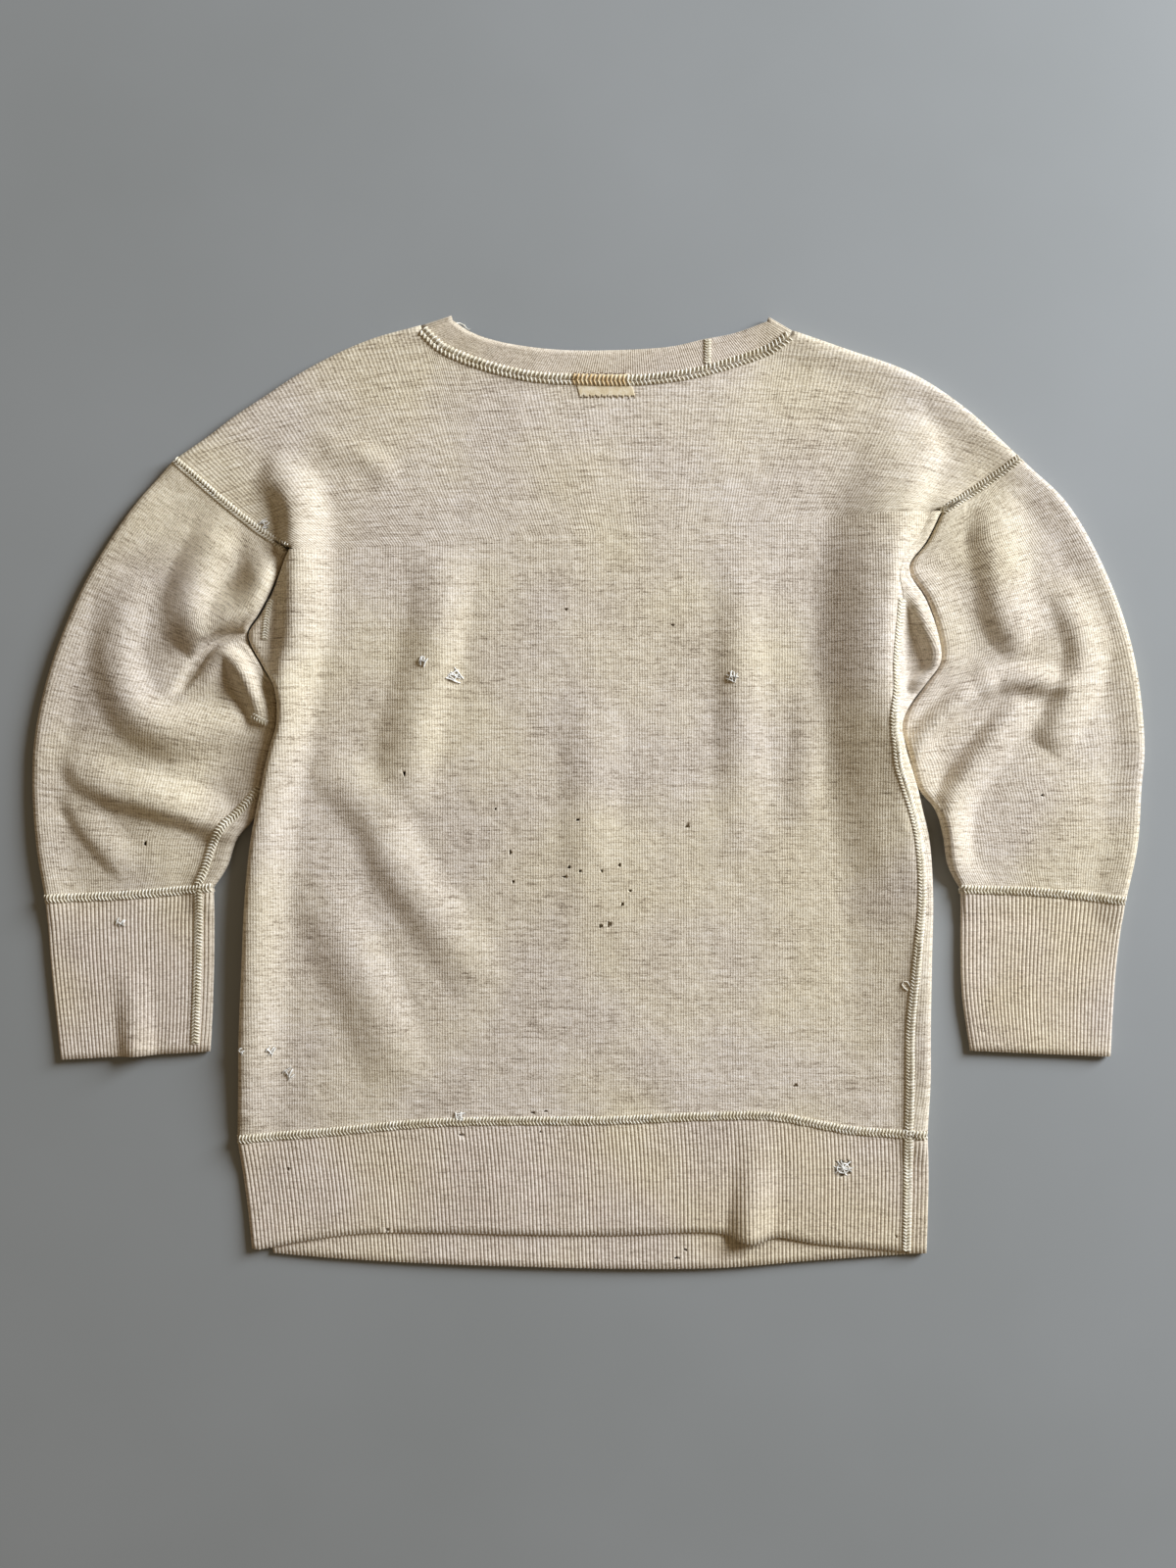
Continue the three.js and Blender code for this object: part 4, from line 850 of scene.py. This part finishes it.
def build_sleeve(side):
    turn = 1 if side == "left" else -1
    outer, inner, touching = sleeve_lines(side)
    folds = SLEEVE_CREASES[side] + [
        fold_edge(SLEEVE_OUTER[side]), fold_edge(touching), fold_edge(SLEEVE_INNER[side])]
    seam = smooth(ARMHOLES[side])
    seam = (seam + turn * sideways(seam) * SEAM_GAP / 2)[::-1]
    outer[0] = towards(seam[0], seam[DENSE], WALL / 2)
    first = np.vstack([towards(seam[0], seam[DENSE], WALL / 2 + CURL), seam[DENSE // 2:-DENSE],
                       towards(inner[0], seam[-DENSE], CURL)])

    def sleeve_height(x, y):
        return LAID + np.maximum(lift(folds, x, y) + waves(x, y), LOWEST_DIP)

    def height_at(rows):
        x, y = rows[..., 0], rows[..., 1]
        blend = np.clip(lengths(outer) / SEAM_BLEND, 0, 1)
        blend = (blend * blend * (3 - 2 * blend))[:, None]
        return mix(body_height(x, y), sleeve_height(x, y), blend)

    bm = new_cloth()
    flat_tube(bm, outer, inner, height_at, SLEEVE_COLUMNS, first_row=first)
    punch_hole(bm, *SLEEVE_HOLES[side])
    finish_cloth(f"sleeve_{side}_knit", bm, wool, (390, 370), f"sleeve_{side}")
    cuff_outer = smooth([tuple(outer[-1]), *CUFF_OUTER[side][1:]])
    cuff_inner = smooth([tuple(inner[-1]), *CUFF_INNER[side][1:]])
    shares = np.linspace(0, 1, CUFF_ROWS)
    cuff = new_cloth()
    flat_tube(cuff, along(cuff_outer, shares), along(cuff_inner, shares),
              lambda rows: sleeve_height(rows[..., 0], rows[..., 1]), CUFF_COLUMNS, CUFF_RIB,
              curl_steps=CUFF_CURL_STEPS)
    finish_cloth(f"cuff_{side}_rib", cuff, cuff_wool, (260, 122), f"cuff_{side}",
                 rib=(CUFF_RIB, RIB_DEPTH))


for side in ("left", "right"):
    build_sleeve(side)

# %% [markdown]
# ## Hem and neckband
# The hem is a band of rib sewn to each half of the body. The lower one is cut a little longer
# and shows its inner side below the upper one, so its furrows are pressed straight down. The
# neckband is one ring of fine rib, folded in two at the shoulders. A scrap of cotton tape is
# all that is left of the label.

# %% The hem
HEM_ROWS = 16
HEM_BACK_COLUMNS = 1080
HEM_FRONT_COLUMNS = 900
HEM_LEFT = [(-256, -313), (-252.5, -346.3)]  # its sides go on from the body's
HEM_RIGHT = [(255.2, -290), (253.8, -347.8)]
SCALLOP = 0.7  # how much longer each rib is than its furrows at the free edge
SWELL = (-230, 215, 1.4)  # the front's free edge rises between these two places
STAR = (191.3, -284.2)
HEM_BACK_HOLES = [
    (-95.8, -259, 1.5), (-35.9, -256.8, 1.2), (-226.1, -284.9, 1.1), (-151.3, -330.8, 1.2),
    (231.2, -336, 1.3),
    *[(STAR[0] + 5.2 * math.cos(a), STAR[1] + 4.8 * math.sin(a), 2.1) for a in (0.75, 1.9, 3.3, 4.5, 5.6)],
]
HEM_FRONT_HOLES = [(66.2, -352.2, 1.4), (72.9, -346.3, 1.2)]


def build_hem(upper):
    """Half of the hem: the back's goes round the left side, the front's round the right one."""
    shares = np.linspace(0, 1, HEM_ROWS + 1)
    left = along(smooth([tuple(left_side[0]), *HEM_LEFT]), shares)
    right = along(smooth([tuple(right_side[0]), *HEM_RIGHT]), shares)
    over = towards(right, left, BODY_SIDES[0][4] - TOUCH_INSET)
    start = towards(left, right, CURL if upper else WRAP + SEAM_GAP / 2)
    end = towards(over, left, SEAM_GAP / 2) if upper else towards(right, left, CURL)
    x = mix(start[:, :1], end[:, :1], np.linspace(0, 1, HEM_BACK_COLUMNS if upper else HEM_FRONT_COLUMNS))
    column = np.repeat(x[:1], len(x), 0)
    seam = smooth(HEM_SEAM_BACK if upper else HEM_SEAM_FRONT)
    edge = smooth(HEM_EDGE_BACK if upper else HEM_EDGE_FRONT)
    seam_y = np.interp(x[0], seam[:, 0], seam[:, 1]) - SEAM_GAP / 2
    edge_y = np.interp(x[-1], edge[:, 0], edge[:, 1])
    y = mix(seam_y, edge_y, shares[:, None])
    y[-1] -= SCALLOP * (1 + np.cos(2 * np.pi * column[0] / HEM_RIB)) / 2
    first, last, rise = SWELL
    swell = rise * np.sin(np.pi * np.clip((x - first) / (last - first), 0, 1)) * shares[:, None] ** 6
    z = body_height(x, y) if upper else UNDER + RIB_DEPTH + swell
    bm = new_cloth()
    add_stretch(bm, x, y, z, column, y)
    side = 0 if upper else -1
    inset = np.stack([x[:, side], y[:, side]], -1)
    rim = np.stack([(left if upper else right)[:, 0], y[:, side]], -1)
    if upper:
        strip_x = left[:, :1] + np.linspace(CURL, WRAP - SEAM_GAP / 2, RIB_CURL_STEPS)[1:]
    else:
        seam_end = towards(over, right, SEAM_GAP / 2)
        strip_x = mix(inset[:, :1], seam_end[:, :1], np.linspace(0, 1, RIB_CURL_STEPS + 1))
    strip = np.stack([strip_x, np.repeat(inset[:, 1:], strip_x.shape[1], 1)], -1)
    low = UNDER if upper else UNDER + RIB_DEPTH
    places = fold_over(inset, rim, strip, RIB_CURL_STEPS, low, from_below=not upper)
    add_side(bm, places, column[:, side], inset[:, 1], -1 if upper else 1)
    merge_stretches(bm)
    for hole in HEM_BACK_HOLES if upper else HEM_FRONT_HOLES:
        punch_hole(bm, *hole, upper)
    return bm


finish_cloth("hem_back_rib", build_hem(True), hem_wool, (515, 92), "hem_back",
             rib=(HEM_RIB, RIB_DEPTH))
finish_cloth("hem_front_rib", build_hem(False), hem_wool, (512, 95), "hem_front",
             rib=(HEM_RIB, RIB_DEPTH, True))

# %% The neckband
RING_COLUMNS = 800  # on each side of the ring
CORNER_STEPS = 12
BAND_ROWS = 6
NECK_WALL = 1.5  # the finest rib is thinner: a thick wall would close its furrows
NECK_RIB_DEPTH = 0.35


def neck_ring():
    """The ring: along the back's neck seam, round the right shoulder, and back below."""
    shares = np.linspace(0, 1, RING_COLUMNS + 1)[1:-1]
    seam = smooth(NECK_SEAM_BACK)
    seam = along(seam + sideways(seam) * SEAM_GAP / 2, shares)
    edge = along(smooth(NECK_EDGE_BACK), shares)
    front = smooth(NECK_SEAM_FRONT)
    front_out = sideways(front)
    front_seam = along(front + front_out * SEAM_GAP / 2, shares)[::-1]
    front_edge = along(front + front_out * BAND_WIDTH, shares)[::-1]
    height = body_height(seam[:, 0], seam[:, 1])
    edge_height = mix(LAID + FOLD_RISE / 2, LAID + FOLD_RISE, np.abs(2 * shares - 1) ** 6)
    lines = [(seam, edge, height, edge_height)]
    corners = []
    for side, end, tip in (("left", -1, NECK_EDGE_BACK[0]), ("right", 0, NECK_EDGE_BACK[-1])):
        inset = shoulder_at(side, WALL / 2 + CURL)[end]
        rim = shoulder_at(side, WALL / 2)[end]
        out = (rim - inset) / CURL
        run = np.array([out[1], -out[0]]) * (1 if side == "left" else -1)
        inset = inset + run * SEAM_GAP
        tip = np.array(tip)
        top_z = float(body_height(inset[:1], inset[1:])[0])
        angle = np.pi * np.arange(0, CORNER_STEPS + 1) / CORNER_STEPS
        middle, edge_middle = (top_z + UNDER) / 2, (LAID + FOLD_RISE + UNDER) / 2
        corners.append((
            inset + out * CURL * np.sin(angle)[:, None], tip + out * CURL * np.sin(angle)[:, None],
            middle + (top_z - middle) * np.cos(angle),
            edge_middle + (LAID + FOLD_RISE - edge_middle) * np.cos(angle)))
    flat = np.full(len(front_seam), UNDER)
    lines += [corners[1], (front_seam, front_edge, flat, flat), tuple(p[::-1] for p in corners[0])]
    seams, edges, lows, highs = (np.concatenate([line[k] for line in lines]) for k in range(4))
    seams, edges, lows, highs = (np.concatenate([p, p[:1]]) for p in (seams, edges, lows, highs))
    t = np.linspace(0, 1, BAND_ROWS + 1)[:, None]
    x, y = mix(seams[:, 0], edges[:, 0], t), mix(seams[:, 1], edges[:, 1], t)
    z = mix(lows, highs, t)
    around = lengths(np.stack([x, y, z], -1)[BAND_ROWS // 2])
    around *= round(around[-1] / NECK_RIB) * NECK_RIB / around[-1]
    across = np.repeat(around[None], BAND_ROWS + 1, 0)
    bm = new_cloth()
    add_stretch(bm, x, y, z, across, np.repeat(t * BAND_WIDTH, x.shape[1], 1))
    merge_stretches(bm)
    return bm


finish_cloth("neckband_rib", neck_ring(), neck_wool, (660, 22), "neckband", NECK_WALL,
             rib=(NECK_RIB, NECK_RIB_DEPTH))

# %% The label's remnant
LABEL_WALL = 0.4
LABEL_GAP = 0.1  # between it and the cloth
LABEL_ENDS = (-6.5, 35)
LABEL_ROWS = (296.3, 313.3)
LABEL_SLANT = 0.27  # how far left each row is for every mm that it is up
BAND_STARTS = 308.5  # from here up the label climbs onto the neckband
BAND_CLIMB = 0.05
label = new_cloth()
lx, ly = np.meshgrid(np.linspace(*LABEL_ENDS, 84), np.linspace(*LABEL_ROWS, 18))
lx -= LABEL_SLANT * (ly - LABEL_ROWS[0])
# Its lowest row is torn, not cut.
ly[0] += 1.6 * np.sin(lx[0] * 2.1) * np.sin(lx[0] * 0.73 + 1) + 0.7 * np.sin(lx[0] * 5.3)
on_band = np.clip(ly - BAND_STARTS, 0, None)
label_height = body_height(lx, ly) + (WALL + LABEL_WALL) / 2 + LABEL_GAP + BAND_CLIMB * on_band
add_stretch(label, lx, ly, label_height, lx, ly)
label.normal_update()
finish_cloth("label_remnant", label, label_tape, (42, 17), "label_stub", wall=LABEL_WALL)

# %% [markdown]
# ## Sewn seams
# The garment is turned inside out, so its overlocked seams show: a raw edge wrapped in cotton,
# with a ladder of bright stitches on one side of the seam and a flatter slanted row on the
# other. Single stitches could be bump, but they stand a millimetre proud and catch the light,
# so each is a short bent tube, laid on the cloth where a ray from above meets it.

# %% Finding the cloth's surface
bpy.context.view_layer.update()
depsgraph = bpy.context.evaluated_depsgraph_get()
cloth_trees = [BVHTree.FromObject(o, depsgraph) for o in bpy.context.scene.objects
               if o.type == "MESH" and o.modifiers]


def surface(x, y):
    """The height of the cloth at a place, in millimetres, and 0 beside the cloth."""
    above = Vector(in_frame(x, y, 1000))
    hits = [tree.ray_cast(above, Vector((0, 0, -1)))[0] for tree in cloth_trees]
    return max([hit.z / MM for hit in hits if hit], default=0.0)


def add_tubes(bm, paths, radius, material_index):
    """Adds a tube of thread along each path, with its points in millimetres."""
    curve = bpy.data.curves.new("thread", "CURVE")
    curve.dimensions = "3D"
    curve.bevel_depth = radius * MM
    curve.bevel_resolution = 1
    curve.use_fill_caps = True
    for path in paths:
        spline = curve.splines.new("POLY")
        spline.points.add(len(path) - 1)
        for point, place in zip(spline.points, path):
            point.co = (*in_frame(*place), 1)
    holder = bpy.data.objects.new("thread", curve)
    mesh = bpy.data.meshes.new_from_object(holder)
    mesh.polygons.foreach_set("material_index", [material_index] * len(mesh.polygons))
    bm.from_mesh(mesh)
    bpy.data.objects.remove(holder)
    bpy.data.curves.remove(curve)
    bpy.data.meshes.remove(mesh)


def finish_thread(name, bm, materials):
    """Makes a piece of thread. It lies on the cloth and stands for no CAD node."""
    piece = link_object(name, bm, *materials)
    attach(piece, "root")


# %% A seam
STITCH_STEP = 2.5
LADDER_THREAD = 0.5
BRAID_THREAD = 0.4
LOWEST_THREAD = 0.7  # where a seam runs out past the cloth, its thread stays off the floor
# One stitch each, as places across the seam, along it and above the cloth.
LADDER = [(0.1, 0, 0.9), (0.9, 0.3, 1.45), (1.8, 0.6, 1.5), (2.8, 0.9, 1.15), (3.5, 1.2, 0.2)]
BRAID = [(0, 0, 0.95), (-0.7, 0.4, 1.2), (-1.5, 0.9, 1.15), (-2.3, 1.4, 0.8), (-2.8, 1.7, 0.1)]
# The wrapped edge's section, as places across the seam and above the cloth.
WELT = [(-3.1, -0.4), (-2.7, 0.45), (-1.6, 0.75), (0, 0.85), (1.6, 0.85), (2.9, 0.6), (3.4, -0.4)]


def sew_seam(name, points, ladder=1, scale=1.0, threads=(cotton_thread, cotton_thread)):
    """An overlocked seam along a line. The ladder is to its left, or with -1 to its right."""
    line = smooth(points)
    count = max(int(lengths(line)[-1] / (STITCH_STEP * scale)), 2)
    line = along(line, np.linspace(0, 1, count + 1))
    out = sideways(line) * ladder
    run = np.gradient(line, axis=0)
    run /= np.linalg.norm(run, axis=1)[:, None]

    def place(k, across, ahead, above):
        x, y = line[k] + out[k] * across * scale + run[k] * ahead
        return x, y, max(surface(x, y) + above * scale, LOWEST_THREAD)

    bm = bmesh.new()
    bmesh.ops.create_grid(bm, x_segments=count, y_segments=len(WELT) - 1, size=0.5)
    for v in bm.verts:
        k, j = round((v.co.x + 0.5) * count), round((v.co.y + 0.5) * (len(WELT) - 1))
        v.co = in_frame(*place(k, WELT[j][0], 0, WELT[j][1]))
    bmesh.ops.recalc_face_normals(bm, faces=bm.faces)
    if sum(f.normal.z for f in bm.faces) < 0:
        bmesh.ops.reverse_faces(bm, faces=bm.faces)
    add_tubes(bm, [[place(k, *point) for point in LADDER] for k in range(count)], LADDER_THREAD * scale, 1)
    add_tubes(bm, [[place(k, *point) for point in BRAID] for k in range(count)], BRAID_THREAD * scale, 2)
    finish_thread(name, bm, (wrapped_edge, *threads))


# %% Sew the seams
seam_up_the_side = [
    (239, -346.5), (239.5, -300), *[(s[2] - s[4], s[3]) for s in BODY_SIDES[:13]], (234, 143)]
sew_seam("hem_seam", HEM_SEAM_BACK)
sew_seam("side_seam", seam_up_the_side, ladder=-1)
sew_seam("armhole_seam_left", ARMHOLES["left"], ladder=-1)
sew_seam("armhole_seam_right", ARMHOLES["right"], ladder=1)
neck_line = smooth(NECK_SEAM_BACK)
RUST = (-11.5, 29)  # the stretch over the label, where the thread is stained
NECK_SEAM_SCALE = 1.25
for name, low, high, thread in (("neck_seam_left", -200, RUST[0], cotton_thread),
                                ("neck_seam_rusty", *RUST, rust_thread),
                                ("neck_seam_right", RUST[1], 200, cotton_thread)):
    stretch = neck_line[(neck_line[:, 0] >= low - 2) & (neck_line[:, 0] <= high + 2)]
    fewer = stretch[[*range(0, len(stretch) - 2, 4), -1]]
    sew_seam(name, fewer, scale=NECK_SEAM_SCALE, threads=(thread, thread))
sew_seam("cuff_seam_left", [(-409, -82), (-345, -79), (-282, -73.5)])
sew_seam("cuff_seam_right", [(279.4, -74.7), (340, -77), (404.4, -83.6)])
sew_seam("underarm_seam_left", [(-246, 1.5), (-263, -17), (-274, -27.4), (-281.6, -40), (-287.5, -57.7),
                                (-293.4, -71.8)], ladder=-1)
sew_seam("cuff_join_left", [(-293.4, -72.5), (-294.5, -130), (-296.4, -191)], ladder=1)
sew_seam("neckband_join", [(89.2, 321), (89.2, 339)], ladder=-1, scale=0.8)
# Two ends of the armhole seam come into sight beside the left armpit.
sew_seam("armpit_seam_upper", [(-238.5, 143), (-241.5, 128), (-243, 113)], ladder=-1, scale=0.8)
sew_seam("armpit_seam_lower", [(-252, 56), (-246, 53), (-240, 50)], ladder=-1, scale=0.8)

# %% [markdown]
# ## Darns and loose threads
# Each hole that someone mended has a knot of off-white yarn: a few short strands drawn
# across the gap, and the ends left standing. They are made as short bent tubes too.

# %% Darns
def darn(place, size, strands, angle, seed):
    """Paths of a darn's strands around a place: side by side, with a few drawn across them."""
    chance = random.Random(seed)
    x, y = place
    paths = []
    for k in range(strands):
        turn = angle + (math.pi / 2 if k % 3 == 2 else 0) + chance.uniform(-0.35, 0.35)
        half = size / 2 * chance.uniform(0.7, 1.1)
        shift = (k / max(strands - 1, 1) - 0.5) * size * 0.7
        cx, cy = x - math.sin(turn) * shift, y + math.cos(turn) * shift
        path = []
        for t in (-1, -0.5, 0, 0.5, 1):
            px = cx + math.cos(turn) * half * t + chance.uniform(-0.3, 0.3)
            py = cy + math.sin(turn) * half * t + chance.uniform(-0.3, 0.3)
            path.append((px, py, surface(px, py) + 1.1 * (1 - t * t) + chance.uniform(-0.1, 0.4)))
        paths.append(path)
    return paths


DARN_SPREAD = 1.15  # the strands reach this much past the mended hole
YARN = 0.5
STAR_YARN = 0.55
LOOSE_THREAD = 0.4
LABEL_THREAD = 0.42
# The place, size, number of strands, direction and own number of each darn.
DARNS = [
    ((-124, 96.9), 6, 5, 1.3, 1), ((-100.3, 85.8), 9, 7, -0.7, 2), ((107.7, 85.1), 7, 6, 1.5, 3),
    ((-243.8, 199.8), 7, 5, 0.4, 4), ((-260.1, -195.4), 4, 4, 0.8, 5), ((-238.7, -195.4), 6, 4, 0.9, 6),
    ((-225.3, -213.1), 8, 4, 0.8, 7), ((-96.6, -244.9), 7, 6, 0.2, 8), ((-351.9, -99.2), 6, 4, 1.2, 9),
]
mend = bmesh.new()
for place, size, strands, angle, seed in DARNS:
    add_tubes(mend, darn(place, DARN_SPREAD * size, strands, angle, seed), YARN, 0)
finish_thread("darns", mend, (darning_yarn,))

# %% The star darn on the hem
hem_top = surface(STAR[0], STAR[1] + 12)
star_paths = []
STAR_ARMS = 9
for k in range(STAR_ARMS):
    turn = 2 * math.pi * k / STAR_ARMS + 0.16 * (k % 3)
    reach = 8.5 + 1.5 * math.sin(k * 2.4)
    path = []
    for far in (0, 2.5, 5, reach):
        bend = turn + 0.12 * math.sin(far + k)
        px, py = STAR[0] + far * math.cos(bend), STAR[1] + far * 0.85 * math.sin(bend)
        path.append((px, py, hem_top + 1.4 - 0.22 * far))
    star_paths.append(path)
star_paths += [[(STAR[0] + 4.5 * math.cos(a), STAR[1] + 3.6 * math.sin(a), hem_top + 0.7)
                for a in np.linspace(start, start + 1.3, 4)] for start in (0.4, 2.3, 3.9, 5.2)]
star = bmesh.new()
add_tubes(star, star_paths, STAR_YARN, 0)
finish_thread("star_darn", star, (darning_yarn,))

# %% Loose ends and the thread that held the label
loose = bmesh.new()
LOOSE_ENDS = [
    [(239, -150), (236.5, -148), (234.8, -145.5), (236, -143), (239, -143.5), (240.5, -146.5)],
    [(-94, 351.5), (-92.5, 349), (-90.5, 347.5), (-89, 347.8)],
    [(-99, 351), (-97, 352.5), (-95, 351.5), (-93.5, 350)],
]
add_tubes(loose, [[(x, y, surface(x, y) + 0.6) for x, y in end] for end in LOOSE_ENDS], LOOSE_THREAD, 0)
finish_thread("loose_ends", loose, (cotton_thread,))
held = bmesh.new()
row = LABEL_ROWS[1]
dashes = [[(x + dx, row + 0.4 * math.sin(x), surface(x + dx, row) + 0.1) for dx in (0, 1.2, 2.4)]
          for x in np.arange(-11, 28, 3.3)]
add_tubes(held, dashes, LABEL_THREAD, 0)
finish_thread("label_thread", held, (brown_thread,))

# %% [markdown]
# ## Floor, light and camera
# The floor is plain and painted grey. One large soft window to the upper right lights the
# cloth at a low slant, so that the folds show, and the room adds a little from all sides.

# %% Camera
CAMERA_HEIGHT = 1.25
HALF_SEEN = 0.592  # half of what the picture's longer side takes in of the floor
scene = bpy.context.scene
camera = bpy.data.objects.new("camera", bpy.data.cameras.new("camera"))
camera.location = (-0.0004, 0.0059, CAMERA_HEIGHT)
camera.data.sensor_width = 36
camera.data.lens = camera.data.sensor_width / 2 / (HALF_SEEN / CAMERA_HEIGHT)
scene.collection.objects.link(camera)
scene.camera = camera
print("camera", CAMERA_HEIGHT, "m up, lens", round(camera.data.lens, 1), "mm")

# %% Floor
# A hard floor under many coats of grey paint: even, with a dull sheen and faint clouds.
FLOOR_CLOUDS = 3.0  # in a metre
paint, tree, shader = new_material("painted_floor", 0.55)
place = add_node(tree, "ShaderNodeTexCoord").outputs["Object"]
slow = add_node(tree, "ShaderNodeTexNoise", {"Vector": place, "Scale": FLOOR_CLOUDS, "Detail": 4.0})
grey = colour_ramp(tree, slow.outputs["Fac"], [(0.3, "#919494"), (0.7, "#989b9c")])
tree.links.new(grey, shader.inputs["Base Color"])
floor_bm = bmesh.new()
bmesh.ops.create_grid(floor_bm, x_segments=1, y_segments=1, size=3)
# It lies half a millimetre below the cloth, so that the two surfaces never meet.
bmesh.ops.translate(floor_bm, verts=floor_bm.verts, vec=(0, 0, -0.5 * MM))
link_object("floor", floor_bm, paint)

# %% Light
# A wide disk gives the soft-edged shadows of daylight through a curtain.
lamp = bpy.data.lights.new("window", "AREA")
lamp.shape = "DISK"
lamp.size = 2.0
lamp.energy = 288
lamp.color = srgb("#eff6ff")[:3]
window = bpy.data.objects.new("window", lamp)
window.location = (3.0, 1.8, 1.6)
window.rotation_euler = (-window.location).to_track_quat("-Z", "Y").to_euler()
scene.collection.objects.link(window)
scene.world = bpy.data.worlds.new("room")
scene.world.use_nodes = True
room = scene.world.node_tree.nodes["Background"]
room.inputs["Color"].default_value = srgb("#f7dcb4")
room.inputs["Strength"].default_value = 0.2
scene.view_settings.view_transform = "Standard"
print("one window of", lamp.energy, "W")
